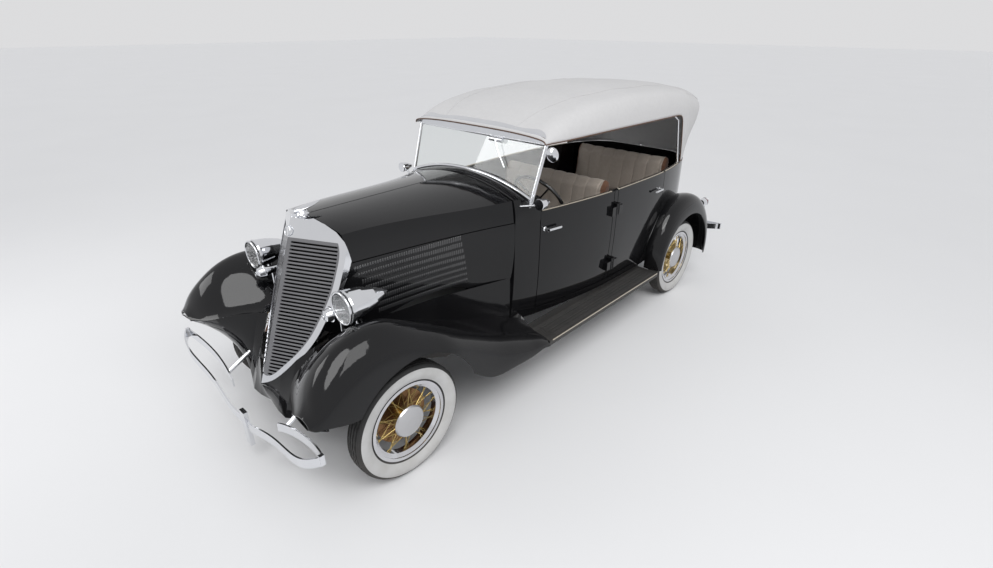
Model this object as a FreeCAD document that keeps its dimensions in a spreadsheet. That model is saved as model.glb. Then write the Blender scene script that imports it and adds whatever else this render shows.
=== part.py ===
import FreeCAD, Part
import math
import os
import re
import Sketcher

V = FreeCAD.Vector
os.makedirs("parts", exist_ok=True)
doc = FreeCAD.newDocument("open_touring_car")

# Driving sizes in millimetres and degrees; the front faces -Y and the car's left is +X
SIZES = {
    # overall layout
    "wheelbase": 3250, "front_overhang": 640, "rear_overhang": 930,
    "front_track": 1430, "rear_track": 1440, "panel_gap": 6, "seat_gap": 0.3, "overrun": 60,
    # wheels and tyres
    "tyre_radius": 360, "tyre_half_width": 64, "tread_half_width": 40, "tread_shoulder_drop": 16,
    "sidewall_radius": 304, "bead_radius": 238, "bead_half_width": 32, "tyre_sides": 64,
    "rim_radius": 251, "rim_half_width": 41, "rim_step_radius": 236,
    "rim_well_radius": 214, "rim_well_half_width": 16, "rim_step_half_width": 34, "rim_wall": 5,
    "hub_radius": 34, "hub_half_length": 44, "hub_flange_radius": 62, "hub_flange_width": 7,
    "cap_radius": 100, "cap_face_offset": 57, "cap_back_offset": 36, "cap_wall": 3, "cap_boss_radius": 28,
    "spoke_radius": 2.6, "spoke_count": 20, "drum_radius": 168, "drum_width": 46, "drum_offset": 46,
    # axles, knuckles and springs
    "axle_beam_height": 52, "axle_beam_width": 46, "axle_drop": 60, "kingpin_offset": 150,
    "kingpin_radius": 14, "kingpin_fit": 0.05, "kingpin_boss_radius": 30, "kingpin_boss_height": 70,
    "knuckle_lug_height": 24, "knuckle_lug_gap": 0.5, "spindle_radius": 19, "spindle_fit": 0.08,
    "rear_tube_radius": 42, "differential_radius": 150, "differential_width": 240,
    "front_spring_half_span": 320, "rear_spring_half_span": 420, "spring_width": 50, "spring_pack": 44,
    "spring_bury": 6,
    # frame
    "rail_offset": 360, "rail_width": 56, "rail_depth": 110, "rail_front_top": 600, "rail_nose_y": 330,
    "rail_tail_y": 3860, "kick_up_y": 2740, "kick_up_run": 160, "member_width": 70, "member_depth": 60, "jack_pad_radius": 40, "fender_stay_radius": 14,
    "jack_pad_height": 10, "engine_width": 250, "engine_length": 900, "engine_height": 560,
    "engine_bottom": 460, "engine_front": 160,
    # body shell
    "sill_bottom": 445, "floor_thickness": 55, "rear_floor_top": 700, "belt_height": 1250, "body_wall": 40,
    "body_front": 1120, "body_half_width": 712, "body_tuck": 34, "body_rear": 515,
    "wheelhouse_radius": 402, "wheelhouse_wall": 12, "wheelhouse_inset": 590,
    # doors
    "pillar_y": 2120, "pillar_half_width": 22, "hinge_standoff": 14, "front_door_reach": 790,
    "rear_door_reach": 762, "door_bottom": 505, "door_fender_cut": 645, "door_wall": 38,
    "hinge_radius": 9, "hinge_height": 70, "hinge_knuckle": 24, "hinge_leaf": 12, "hinge_reach": 60,
    "hinge_bury": 30, "hood_hinge_offset": 6, "hood_bead_radius": 3, "hood_rod_radius": 2.7, "upper_hinge_height": 1097, "lower_hinge_height": 640,
    "handle_radius": 8, "handle_length": 120, "handle_standoff": 34, "handle_height": 1117,
    # hood, cowl and radiator
    "hood_wall": 8, "cowl_wall": 24, "cowl_rear": 1330, "hood_rear": 1115, "hood_split_height": 1205,
    "hood_bottom": 800, "hood_crown_front": 1434, "hood_crown_rear": 1449, "nose_top_y": 185, "nose_top_z": 1304, "nose_tip_y": 482, "nose_tip_z": 512,
    "nose_sweep": 26, "shell_band": 34, "grille_thickness": 14, "bar_pitch": 20, "bar_gap": 10,
    "centre_strip": 24, "core_thickness": 60, "cap_stem_radius": 20, "cap_stem_height": 34,
    # fenders and boards
    "fender_wall": 6, "bumper_arm_radius": 14, "arch_radius": 455, "fender_half_width": 850, "arch_skirt_depth": 90,
    "board_top": 392, "board_depth": 40, "board_inner": 640, "board_front": 560, "board_rear": 2790,
    "rib_count": 8, "rib_height": 5, "rib_width": 9, "valance_wall": 6,
    # windshield, top and cabin
    "screen_foot_y": 1213, "screen_foot_z": 1355, "screen_top_y": 1331, "screen_top_z": 1699,
    "screen_half_width": 600, "screen_top_half_width": 617, "screen_arch": 108, "screen_bar": 26,
    "glass_thickness": 6, "top_wall": 12, "top_half_width": 655, "top_front": 1290, "top_rear": 3735,
    "top_height": 1960, "top_front_height": 1748, "top_edge_height": 1700,
    "iron_radius": 9, "seat_half_width": 570, "rear_seat_half_width": 535, "cushion_depth": 520, "cushion_height": 180,
    "cushion_base": 700, "backrest_thickness": 150, "front_seat_y": 2330, "rear_seat_y": 3420,
    "backrest_height": 1310, "seat_fillet": 40, "dash_y": 1290, "dash_thickness": 24,
    "dash_bottom": 1060, "dash_bracket": 20, "wheel_ring_radius": 215,
    "wheel_ring_wire": 13, "steering_x": 330, "steering_y": 1640, "steering_z": 1215,
    "column_tilt": 32, "column_radius": 22, "column_length": 570.5, "wheel_boss_radius": 40, "wheel_boss_depth": 52, "wheel_boss_height": 46,
    # lamps, horns and bumpers
    "lamp_x": 510, "lamp_y": -189, "lamp_z": 1075, "lamp_radius": 94, "lamp_length": 275,
    "lens_thickness": 10, "lamp_stalk_radius": 16, "lamp_foot_z": 780, "horn_x": 389, "horn_y": -194,
    "horn_z": 996, "horn_radius": 44, "horn_length": 150, "cowl_lamp_x": 704, "cowl_lamp_y": 1194,
    "cowl_lamp_z": 1357, "cowl_lamp_radius": 38, "cowl_lamp_length": 110,
    "bumper_bar_height": 56, "bumper_bar_wall": 9, "bumper_end_x": 846, "bumper_end_z": 542,
    "bumper_mid_z": 290, "bumper_back_gap": 90, "bumper_plate_height": 240,
    "tail_lamp_x": 700, "tail_lamp_radius": 42, "tail_lamp_z": 760, "plate_width": 250,
    "plate_height": 150, "tank_length": 245, "tank_height": 190, "tank_front": 3430, "tank_top": 600,
}

sheet = doc.addObject("Spreadsheet::Sheet", "Sizes")
for row, (alias, number) in enumerate(SIZES.items(), 1):
    sheet.set("A%d" % row, alias)
    sheet.set("B%d" % row, str(number))
    sheet.setAlias("B%d" % row, alias)
doc.recompute()


class Sheet:
    """The sheet's numbers as plain attributes."""

    def __getattr__(self, alias):
        return float(sheet.get(alias))


S = Sheet()
FRONT = -(S.front_overhang + S.wheelbase + S.rear_overhang) / 2 + S.front_overhang
REAR = FRONT + S.wheelbase
WORD = re.compile(r"[a-z][a-z_]*[a-z]")


def formula(text):
    """Write the sheet's name in front of every alias of a formula."""
    return WORD.sub(lambda m: "Sizes." + m.group(0) if m.group(0) in SIZES else m.group(0), text)


def bind(obj, **formulas):
    """Bind properties of an object to formulas on the sheet."""
    for prop, text in formulas.items():
        obj.setExpression(prop.replace("__", "."), formula(text))


FRONT_Y = "(front_overhang - wheelbase - rear_overhang) / 2"
REAR_Y = "(front_overhang + wheelbase - rear_overhang) / 2"
NODES = []


def node(obj, name):
    """Name a finished sub-part."""
    obj.Label = name
    NODES.append(obj)
    return obj


def along(distance):
    """Y of a place given from the front axle."""
    return FRONT + distance


# Sketched bodies

def new_body(name):
    return doc.addObject("PartDesign::Body", name)


def origin_plane(body, role):
    return next(f for f in body.Origin.OriginFeatures if f.Role == role)


def sketch_on(body, role, name):
    sketch = body.newObject("Sketcher::SketchObject", name)
    sketch.AttachmentSupport = [(origin_plane(body, role), "")]
    sketch.MapMode = "FlatFace"
    return sketch


def outline(sketch, corners):
    """Draw a closed outline whose corners are pairs of formulas."""
    count = len(corners)
    first = sketch.GeometryCount
    rough = [V(math.cos(2 * math.pi * i / count), math.sin(2 * math.pi * i / count), 0) for i in range(count)]
    for i in range(count):
        sketch.addGeometry(Part.LineSegment(rough[i], rough[(i + 1) % count]))
    for i in range(count):
        after = first + (i + 1) % count
        sketch.addConstraint(Sketcher.Constraint("Coincident", first + i, 2, after, 1))
    for i, corner in enumerate(corners):
        for kind, text in zip(("DistanceX", "DistanceY"), corner):
            index = sketch.addConstraint(Sketcher.Constraint(kind, -1, 1, first + i, 1, 0.0))
            sketch.setExpression("Constraints[%d]" % index, formula(text))
    return sketch


def revolved(name, corners, rounds=()):
    """Turn an outline of (along, radius) formulas about the X axis and round chosen corners."""
    body = new_body(name)
    sketch = outline(sketch_on(body, "XZ_Plane", name + "_outline"), corners)
    turn = body.newObject("PartDesign::Revolution", name + "_turn")
    turn.Profile = sketch
    turn.ReferenceAxis = (sketch, ["H_Axis"])
    turn.Angle = 360
    doc.recompute()
    last = turn
    for radius, places in rounds:
        edges = circle_edges(last.Shape, places)
        fillet = body.newObject("PartDesign::Fillet", "%s_round_%s" % (name, radius))
        fillet.Base = (last, edges)
        bind(fillet, Radius=radius)
        doc.recompute()
        last = fillet
    return body


def circle_edges(shape, places):
    """Names of the full circles about X that lie at the given (along, radius) places."""
    names = []
    for i, edge in enumerate(shape.Edges, 1):
        if edge.Curve.TypeId != "Part::GeomCircle":
            continue
        for x, r in places:
            if abs(edge.Curve.Center.x - x) < 0.01 and abs(edge.Curve.Radius - r) < 0.01:
                names.append("Edge%d" % i)
    return names


def padded(name, role, corners, length, rounds=None):
    """Pad an outline evenly to both sides of an origin plane."""
    body = new_body(name)
    sketch = outline(sketch_on(body, role, name + "_outline"), corners)
    pad = body.newObject("PartDesign::Pad", name + "_pad")
    pad.Profile = sketch
    pad.Midplane = True
    bind(pad, Length=length)
    doc.recompute()
    return body


def place(obj, x=None, y=None, z=None, turn=None):
    """Bind a place to formulas and turn the object about Z."""
    if turn is not None:
        obj.Placement = FreeCAD.Placement(V(), FreeCAD.Rotation(V(0, 0, 1), turn))
    for axis, text in (("x", x), ("y", y), ("z", z)):
        if text is not None:
            obj.setExpression("Placement.Base." + axis, formula(text))
    return obj


# Surfaces set in code

def shape_object(name, shape):
    """A sub-part whose shape is set in code."""
    obj = doc.addObject("Part::Feature", name)
    obj.Shape = shape
    return obj


def spline(points):
    curve = Part.BSplineCurve()
    curve.interpolate([V(*p) for p in points])
    return curve.toShape()


def closed(edges):
    return Part.Wire(Part.__sortEdges__(edges))


def positive(shape):
    """The solid of a shape, facing outward."""
    solid = Part.Solid(shape.Shells[0]) if shape.ShapeType != "Solid" and shape.Shells else shape
    if solid.Volume < 0:
        solid.reverse()
    return solid


def loft(wires, ruled=False):
    return positive(Part.makeLoft(wires, True, ruled))


def mirrored(shape):
    return shape.mirror(V(), V(1, 0, 0))


def both_sides(shape):
    return Part.makeCompound([shape, mirrored(shape)])


def offset_line(points, wall):
    """Points moved square to their line by a wall, to its right hand."""
    moved = []
    for i, (a, b) in enumerate(points):
        before = points[max(i - 1, 0)]
        after = points[min(i + 1, len(points) - 1)]
        da, db = after[0] - before[0], after[1] - before[1]
        run = math.hypot(da, db)
        moved.append((a + wall * db / run, b - wall * da / run))
    return moved


def band(points, wall, to_space):
    """Closed section of a bent sheet: its outer line, its inner line and two ends."""
    outer = [to_space(*p) for p in points]
    inner = [to_space(*p) for p in offset_line(points, wall)]
    ends = [Part.makeLine(V(*outer[0]), V(*inner[0])), Part.makeLine(V(*outer[-1]), V(*inner[-1]))]
    return closed([spline(outer), ends[0], spline(inner), ends[1]])


def interpolate(table, at):
    """Value of a table of (place, value) pairs at a place, straight between pairs."""
    for (a, va), (b, vb) in zip(table, table[1:]):
        if a <= at <= b:
            return va + (vb - va) * (at - a) / (b - a)
    return table[0][1] if at < table[0][0] else table[-1][1]


def rod(start, end, radius):
    """Round bar between two points."""
    start, end = V(*start), V(*end)
    return Part.makeCylinder(radius, (end - start).Length, start, end - start)


def block(x0, x1, y0, y1, z0, z1):
    return Part.makeBox(x1 - x0, y1 - y0, z1 - z0, V(x0, y0, z0))


# Wheels: tyre, stepped rim with its cap, and hub with laced spokes and drum

TYRE = [("-bead_half_width", "bead_radius"),
        ("-(rim_half_width - rim_wall - 1)", "rim_radius + seat_gap * 2"),
        ("-tyre_half_width", "sidewall_radius"),
        ("-(tyre_half_width + tread_half_width) / 2", "tyre_radius - tread_shoulder_drop"),
        ("-tread_half_width", "tyre_radius"), ("tread_half_width", "tyre_radius"),
        ("(tyre_half_width + tread_half_width) / 2", "tyre_radius - tread_shoulder_drop"),
        ("tyre_half_width", "sidewall_radius"),
        ("rim_half_width - rim_wall - 1", "rim_radius + seat_gap * 2"),
        ("bead_half_width", "bead_radius")]
RIM = [("-rim_half_width", "rim_radius"), ("-rim_half_width", "rim_step_radius - rim_wall"),
       ("-rim_step_half_width", "rim_step_radius - rim_wall"),
       ("-rim_well_half_width - rim_wall", "rim_well_radius - rim_wall"),
       ("rim_well_half_width + rim_wall", "rim_well_radius - rim_wall"),
       ("rim_step_half_width", "rim_step_radius - rim_wall"),
       ("rim_half_width", "rim_step_radius - rim_wall"), ("rim_half_width", "rim_radius"),
       ("rim_half_width - rim_wall", "rim_radius"), ("rim_half_width - rim_wall", "rim_step_radius"),
       ("rim_well_half_width + rim_wall", "rim_step_radius"), ("rim_well_half_width", "rim_well_radius"),
       ("-rim_well_half_width", "rim_well_radius"), ("-rim_well_half_width - rim_wall", "rim_step_radius"),
       ("-(rim_half_width - rim_wall)", "rim_step_radius"), ("-(rim_half_width - rim_wall)", "rim_radius")]
CAP = [("cap_back_offset", "cap_radius - cap_wall"), ("cap_back_offset", "cap_radius"),
       ("cap_back_offset + (cap_face_offset - cap_back_offset) * 0.45", "cap_radius * 0.93"),
       ("cap_back_offset + (cap_face_offset - cap_back_offset) * 0.8", "cap_radius * 0.6"),
       ("cap_face_offset", "cap_radius * 0.3"), ("cap_face_offset", "0"),
       ("hub_half_length + seat_gap", "0"), ("hub_half_length + seat_gap", "cap_boss_radius"),
       ("cap_face_offset - cap_wall", "cap_boss_radius"),
       ("cap_back_offset + (cap_face_offset - cap_back_offset) * 0.8 - cap_wall", "cap_radius * 0.57"),
       ("cap_back_offset + (cap_face_offset - cap_back_offset) * 0.45 - cap_wall", "cap_radius * 0.89")]


def tyre_ring(name):
    """Tyre of flat facets: polygon rings lofted side to side, with the bead's bore cut through."""
    rings = []
    for i, (x, radius) in enumerate(TYRE):
        ring = doc.addObject("Part::RegularPolygon", "%s_ring_%d" % (name, i))
        ring.Polygon = int(S.tyre_sides)
        ring.Placement = FreeCAD.Placement(V(), FreeCAD.Rotation(V(0, 0, 1), V(1, 0, 0)))
        bind(ring, Circumradius=radius)
        ring.setExpression("Placement.Base.x", formula(x))
        rings.append(ring)
    body = doc.addObject("Part::Loft", name + "_sides")
    body.Sections = rings
    body.Solid = True
    body.Ruled = True
    bore = doc.addObject("Part::Prism", name + "_bore")
    bore.Polygon = int(S.tyre_sides)
    bore.Placement = FreeCAD.Placement(V(), FreeCAD.Rotation(V(0, 0, 1), V(1, 0, 0)))
    bind(bore, Circumradius="bead_radius - rim_wall / 5", Height="2 * overrun + 2 * tyre_half_width")
    bore.setExpression("Placement.Base.x", formula("-overrun - tyre_half_width"))
    tyre = doc.addObject("Part::Cut", name)
    tyre.Base = body
    tyre.Tool = bore
    doc.recompute()
    return tyre


def flat_rod(start, end, radius, sides=6):
    """Thin bar of regular section between two points."""
    start, end = V(*start), V(*end)
    run = end - start
    across = run.cross(V(1, 0, 0)) if abs(run.x) < run.Length * 0.9 else run.cross(V(0, 1, 0))
    across.normalize()
    other = run.cross(across)
    other.normalize()
    turns = [2 * math.pi * i / sides for i in range(sides)]
    ring = [start + across * radius * math.cos(t) + other * radius * math.sin(t) for t in turns]
    return Part.Face(Part.makePolygon(ring + [ring[0]])).extrude(run)


def spoke_bars():
    """Spokes laced from two hub flanges to the rim well, each leaning forward or back."""
    bars = []
    count = int(S.spoke_count)
    lean = math.radians(360 / count * 1.6)
    for flange, reach in ((S.hub_half_length - S.hub_flange_width / 2, S.rim_well_half_width / 2),
                          (-S.hub_half_length + S.hub_flange_width / 2, -S.rim_well_half_width / 2)):
        for i in range(count):
            side = 1 if i % 2 else -1
            turn = math.radians(360 / count * (i + (0.5 if flange < 0 else 0)))
            inner = S.hub_flange_radius - S.spoke_radius
            outer = S.rim_well_radius - S.rim_wall - S.seat_gap - S.spoke_radius / 2
            start = (flange, inner * math.cos(turn), inner * math.sin(turn))
            end = (reach, outer * math.cos(turn + side * lean), outer * math.sin(turn + side * lean))
            bars.append(flat_rod(start, end, S.spoke_radius))
    return bars


def hub_shape():
    """Hub barrel with flanges, spokes and the brake drum behind."""
    axle = V(1, 0, 0)

    def ring(outer, inner, start, width):
        disc = Part.makeCylinder(outer, width, V(start, 0, 0), axle)
        return disc.cut(Part.makeCylinder(inner, width + 2 * S.overrun, V(start - S.overrun, 0, 0), axle))

    bore = S.spindle_radius + S.spindle_fit
    parts = [ring(S.hub_radius, bore, -S.hub_half_length, 2 * S.hub_half_length)]
    for start in (S.hub_half_length - S.hub_flange_width, -S.hub_half_length):
        parts.append(ring(S.hub_flange_radius, bore, start, S.hub_flange_width))
    drum = ring(S.drum_radius, bore, -S.drum_offset - S.drum_width, S.drum_width + 8)
    drum = drum.cut(Part.makeCylinder(S.drum_radius - 8, S.drum_width - 8, V(-S.drum_offset - S.drum_width, 0, 0), axle))
    parts.append(drum)
    return parts[0].multiFuse(parts[1:] + spoke_bars())


CORNERS = {"front_left": (S.front_track / 2, FRONT, 0), "front_right": (-S.front_track / 2, FRONT, 180),
           "rear_left": (S.rear_track / 2, REAR, 0), "rear_right": (-S.rear_track / 2, REAR, 180)}


def make_wheels():
    hub = hub_shape()
    for corner, (x, y, turn) in CORNERS.items():
        track, line = ("front_track", FRONT_Y) if "front" in corner else ("rear_track", REAR_Y)
        side = "%s / 2" % track if x > 0 else "-%s / 2" % track
        tyre = tyre_ring("tyre_" + corner)
        rim = revolved("ring_" + corner, RIM)
        cap = revolved("cap_" + corner, CAP)
        rim_and_cap = doc.addObject("Part::Compound", "rim_and_cap_" + corner)
        rim_and_cap.Links = [rim, cap]
        hub_copy = shape_object("hub_" + corner, hub.copy())
        for obj, name in ((tyre, "tyre_"), (rim_and_cap, "rim_"), (hub_copy, "hub_")):
            place(obj, side, line, "tyre_radius", turn)
            node(obj, name + corner)


# Axles, knuckles and frame

SIDES = {"left": 1, "right": -1}


def make_front_axle():
    """Dropped beam between the kingpin bosses, on its two leaf springs."""
    king = S.front_track / 2 - S.kingpin_offset
    low = S.tyre_radius - S.axle_drop
    half = S.axle_beam_height / 2
    path = [(0, low), (king * 0.62, low), (king * 0.86, S.tyre_radius), (king, S.tyre_radius)]
    solids = []
    for side in (1, -1):
        top = [V(side * x, -S.axle_beam_width / 2, z + half) for x, z in path]
        bottom = [V(side * x, -S.axle_beam_width / 2, z - half) for x, z in reversed(path)]
        face = Part.Face(Part.makePolygon(top + bottom + [top[0]]))
        solids.append(face.extrude(V(0, S.axle_beam_width, 0)))
        solids.append(Part.makeCylinder(S.kingpin_boss_radius, S.kingpin_boss_height,
                                        V(side * king, 0, S.tyre_radius - S.kingpin_boss_height / 2)))
    beam = solids[0].multiFuse(solids[1:])
    for side in (1, -1):
        beam = beam.cut(Part.makeCylinder(S.kingpin_radius + S.kingpin_fit, 4 * S.overrun,
                                          V(side * king, 0, S.tyre_radius - 2 * S.overrun)))
    beam.translate(V(0, FRONT, 0))
    springs = [spring_pack(side, 0, low + half, S.front_spring_half_span) for side in (1, -1)]
    node(shape_object("front_axle", beam.multiFuse(springs)), "front_axle")


def rail_line():
    """Top edge of the side rails, as (distance from the front axle, height)."""
    mid = S.sill_bottom - S.seat_gap
    high = S.rear_floor_top - S.floor_thickness - S.seat_gap
    return [(-S.rail_nose_y, S.rail_front_top - 15), (-100, S.rail_front_top), (250, S.rail_front_top - 10),
            (600, mid), (S.kick_up_y, mid), (S.kick_up_y + S.kick_up_run, high),
            (3700, high), (S.rail_tail_y, high - 40)]


def rail_bottom(distance):
    return interpolate(rail_line(), distance) - S.rail_depth


def spring_pack(side, axle, seat, half):
    """Leaf spring from its axle seat up to the underside of the rail at both ends."""
    ends = [rail_bottom(axle + way * half) - S.seat_gap - S.spring_pack for way in (-1, 1)]
    low = seat - S.spring_bury
    line = [(-half, ends[0]), (-half * 0.5, low + (ends[0] - low) * 0.3), (0, low),
            (half * 0.5, low + (ends[1] - low) * 0.3), (half, ends[1])]
    lower = [(0, a, b) for a, b in line]
    upper = [(0, a, b + S.spring_pack) for a, b in line]
    edges = [spline(lower), Part.makeLine(V(*lower[-1]), V(*upper[-1])),
             spline(upper), Part.makeLine(V(*upper[0]), V(*lower[0]))]
    solid = Part.Face(closed(edges)).extrude(V(S.spring_width, 0, 0))
    solid.translate(V(side * S.rail_offset - S.spring_width / 2, along(axle), 0))
    return solid


def make_rear_axle():
    """Tube with the differential in the middle, the spindles at its ends and its springs."""
    z = S.tyre_radius
    half = S.rear_track / 2
    inner = half - S.drum_offset - S.drum_width - S.knuckle_lug_gap
    half_case = S.differential_width / 2
    parts = [rod((-inner, REAR, z), (inner, REAR, z), S.rear_tube_radius),
             rod((-half - S.hub_half_length / 2, REAR, z), (half + S.hub_half_length / 2, REAR, z), S.spindle_radius),
             turned_polygon([(-half_case, 0), (-half_case, S.differential_radius * 0.5), (-half_case * 0.5, S.differential_radius * 0.94),
                             (0, S.differential_radius), (half_case * 0.5, S.differential_radius * 0.94),
                             (half_case, S.differential_radius * 0.5), (half_case, 0)], (0, REAR, z), (1, 0, 0))]
    seat = z + S.rear_tube_radius
    springs = [spring_pack(side, S.wheelbase, seat, S.rear_spring_half_span) for side in (1, -1)]
    node(shape_object("rear_axle", parts[0].multiFuse(parts[1:] + springs)), "rear_axle")


def make_knuckles():
    """Yoke above and below each kingpin boss, with the pin and the spindle."""
    king = S.front_track / 2 - S.kingpin_offset
    z = S.tyre_radius
    reach = S.kingpin_boss_height / 2 + S.knuckle_lug_gap
    drum_back = S.front_track / 2 - S.drum_offset - S.drum_width
    web = king + S.kingpin_boss_radius + 4
    for name, side in SIDES.items():
        lugs = []
        for low in (z + reach, z - reach - S.knuckle_lug_height):
            lugs.append(Part.makeCylinder(S.kingpin_boss_radius, S.knuckle_lug_height, V(king, 0, low)))
            lugs.append(block(king, web + 10, -S.kingpin_boss_radius, S.kingpin_boss_radius, low, low + S.knuckle_lug_height))
        parts = lugs + [
            Part.makeCylinder(S.kingpin_radius, 2 * (reach + S.knuckle_lug_height), V(king, 0, z - reach - S.knuckle_lug_height)),
            block(web, drum_back - 6, -S.kingpin_boss_radius, S.kingpin_boss_radius,
                  z - reach - S.knuckle_lug_height, z + reach + S.knuckle_lug_height),
            rod((web, 0, z), (S.front_track / 2 + S.hub_half_length / 2, 0, z), S.spindle_radius)]
        shape = parts[0].multiFuse(parts[1:])
        if side < 0:
            shape = mirrored(shape)
        shape.translate(V(0, FRONT, 0))
        node(shape_object("knuckle_" + name, shape), "knuckle_" + name)


def make_frame():
    """Two kicked-up side rails with cross members and jack pads."""
    line = rail_line()
    top = [V(0, a, b) for a, b in line]
    bottom = [V(0, a, b - S.rail_depth) for a, b in reversed(line)]
    face = Part.Face(Part.makePolygon(top + bottom + [top[0]]))
    solids = []
    for side in (1, -1):
        rail = face.extrude(V(S.rail_width, 0, 0))
        rail.translate(V(side * S.rail_offset - S.rail_width / 2, 0, 0))
        solids.append(rail)
        for place_y in (700, 2450):
            solids.append(Part.makeCylinder(S.jack_pad_radius, S.jack_pad_height + 20,
                                            V(side * S.rail_offset, place_y, rail_bottom(place_y) - S.jack_pad_height)))
    for place_y in (-180, 1180, 2300, 3825):
        level = rail_bottom(place_y) + S.rail_depth / 2
        solids.append(block(-S.rail_offset, S.rail_offset, place_y - S.member_width / 2, place_y + S.member_width / 2,
                            level - S.member_depth / 2, level + S.member_depth / 2))
    for place_y in (420, 960):
        solids.append(block(-S.rail_offset, S.rail_offset, place_y - S.member_width / 2, place_y + S.member_width / 2,
                            S.engine_bottom - S.seat_gap - S.member_depth, S.engine_bottom - S.seat_gap))
    frame = solids[0].multiFuse(solids[1:])
    stays = []
    for side in (1, -1):
        stays.append(Part.makeCylinder(S.fender_stay_radius, S.overrun * 8, V(side * S.rail_offset, -60, S.rail_front_top - S.member_depth)))
        reach = S.rail_offset + S.rail_width / 2 + S.member_width
        x0, x1 = sorted((side * S.rail_offset, side * reach))
        foot = S.sill_bottom - S.member_depth
        stays.append(block(x0, x1, 700 - S.member_width / 2, 700 + S.member_width / 2, foot, S.sill_bottom - S.jack_pad_height))
        stays.append(Part.makeCylinder(S.fender_stay_radius, S.overrun * 8, V(side * (reach - S.fender_stay_radius), 700, foot)))
    over = both_sides(fender_space(S.fender_wall + S.seat_gap, S.top_height, True))
    frame = frame.multiFuse([stay.cut(over) for stay in stays])
    frame.translate(V(0, FRONT, 0))
    node(shape_object("frame_rails", frame), "frame_rails")


def make_engine():
    engine = doc.addObject("Part::Box", "engine")
    bind(engine, Length="engine_width", Width="engine_length", Height="engine_height")
    place(engine, "-engine_width / 2", FRONT_Y + " + engine_front", "engine_bottom")
    node(engine, "engine_block")


# Body shell: plan outlines lofted upward, hollowed, then split at the doors

PLAN = [(1120, 548), (1213, 575), (1330, 602), (1420, 620), (1700, 664), (2080, 702), (2450, 712),
        (2900, 703), (3200, 662), (3450, 596), (3620, 500)]


def body_plan(level, inset, tuck=0.0):
    """Closed outline of the body seen from above at a height."""
    half = [(x - inset - tuck, y) for y, x in PLAN]
    tail = S.wheelbase + S.body_rear - inset - tuck * 0.6
    half += [(300 - inset * 0.3, tail - 12), (0, tail)]
    right = [(-x, y) for x, y in half[:-1]]
    line = right + list(reversed(half))
    points = [(x, y, level) for x, y in line]
    front = Part.makeLine(V(*points[0]), V(*points[-1]))
    return closed([spline(points), front])


def body_solid(inset, low, high):
    levels = [(low, S.body_tuck), (low + (high - low) * 0.3, S.body_tuck * 0.25),
              (low + (high - low) * 0.7, 0.0), (high, S.body_tuck * 0.1)]
    return loft([body_plan(z, inset, tuck) for z, tuck in levels])


def door_region(side, which, grow):
    """Space of one door: a cylinder about its hinge, past the pillar, above the sill."""
    front = which == "front"
    sign = -1 if front else 1
    reach = (S.front_door_reach if front else S.rear_door_reach) + grow
    hinge_y = S.pillar_y + sign * S.pillar_half_width * 0.6
    start = S.pillar_y + sign * (S.pillar_half_width + (0 if grow else S.panel_gap))
    x = side * (S.body_half_width + S.hinge_standoff)
    low = S.door_bottom - grow
    top = S.belt_height + S.overrun
    swept = Part.makeCylinder(reach, top - low, V(x, hinge_y, low))
    ends = sorted((start, start + sign * 1000))
    inner = side * 440
    outer = side * 900
    swept = swept.common(block(min(inner, outer), max(inner, outer), ends[0], ends[1], low, top))
    if not front:
        guard = Part.makeCylinder(S.door_fender_cut - grow, 2000, V(-1000, REAR - FRONT, S.tyre_radius), V(1, 0, 0))
        swept = swept.cut(guard)
    return swept


def pillar_hinges():
    """Fixed knuckles on the pillars, above those of the doors on the same pins."""
    x = S.body_half_width + S.hinge_standoff
    half = S.hinge_radius * 0.6
    parts = []
    for sign in (-1, 1):
        hinge_y = S.pillar_y + sign * S.pillar_half_width * 0.6
        for level in (S.upper_hinge_height, S.lower_hinge_height):
            low = level + S.hinge_height / 2 + S.seat_gap
            parts.append(Part.makeCylinder(S.hinge_radius, S.hinge_knuckle, V(x, hinge_y, low)))
            parts.append(block(S.body_half_width - S.body_wall, x, hinge_y - half, hinge_y + half, low, low + S.hinge_knuckle))
    return parts


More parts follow.
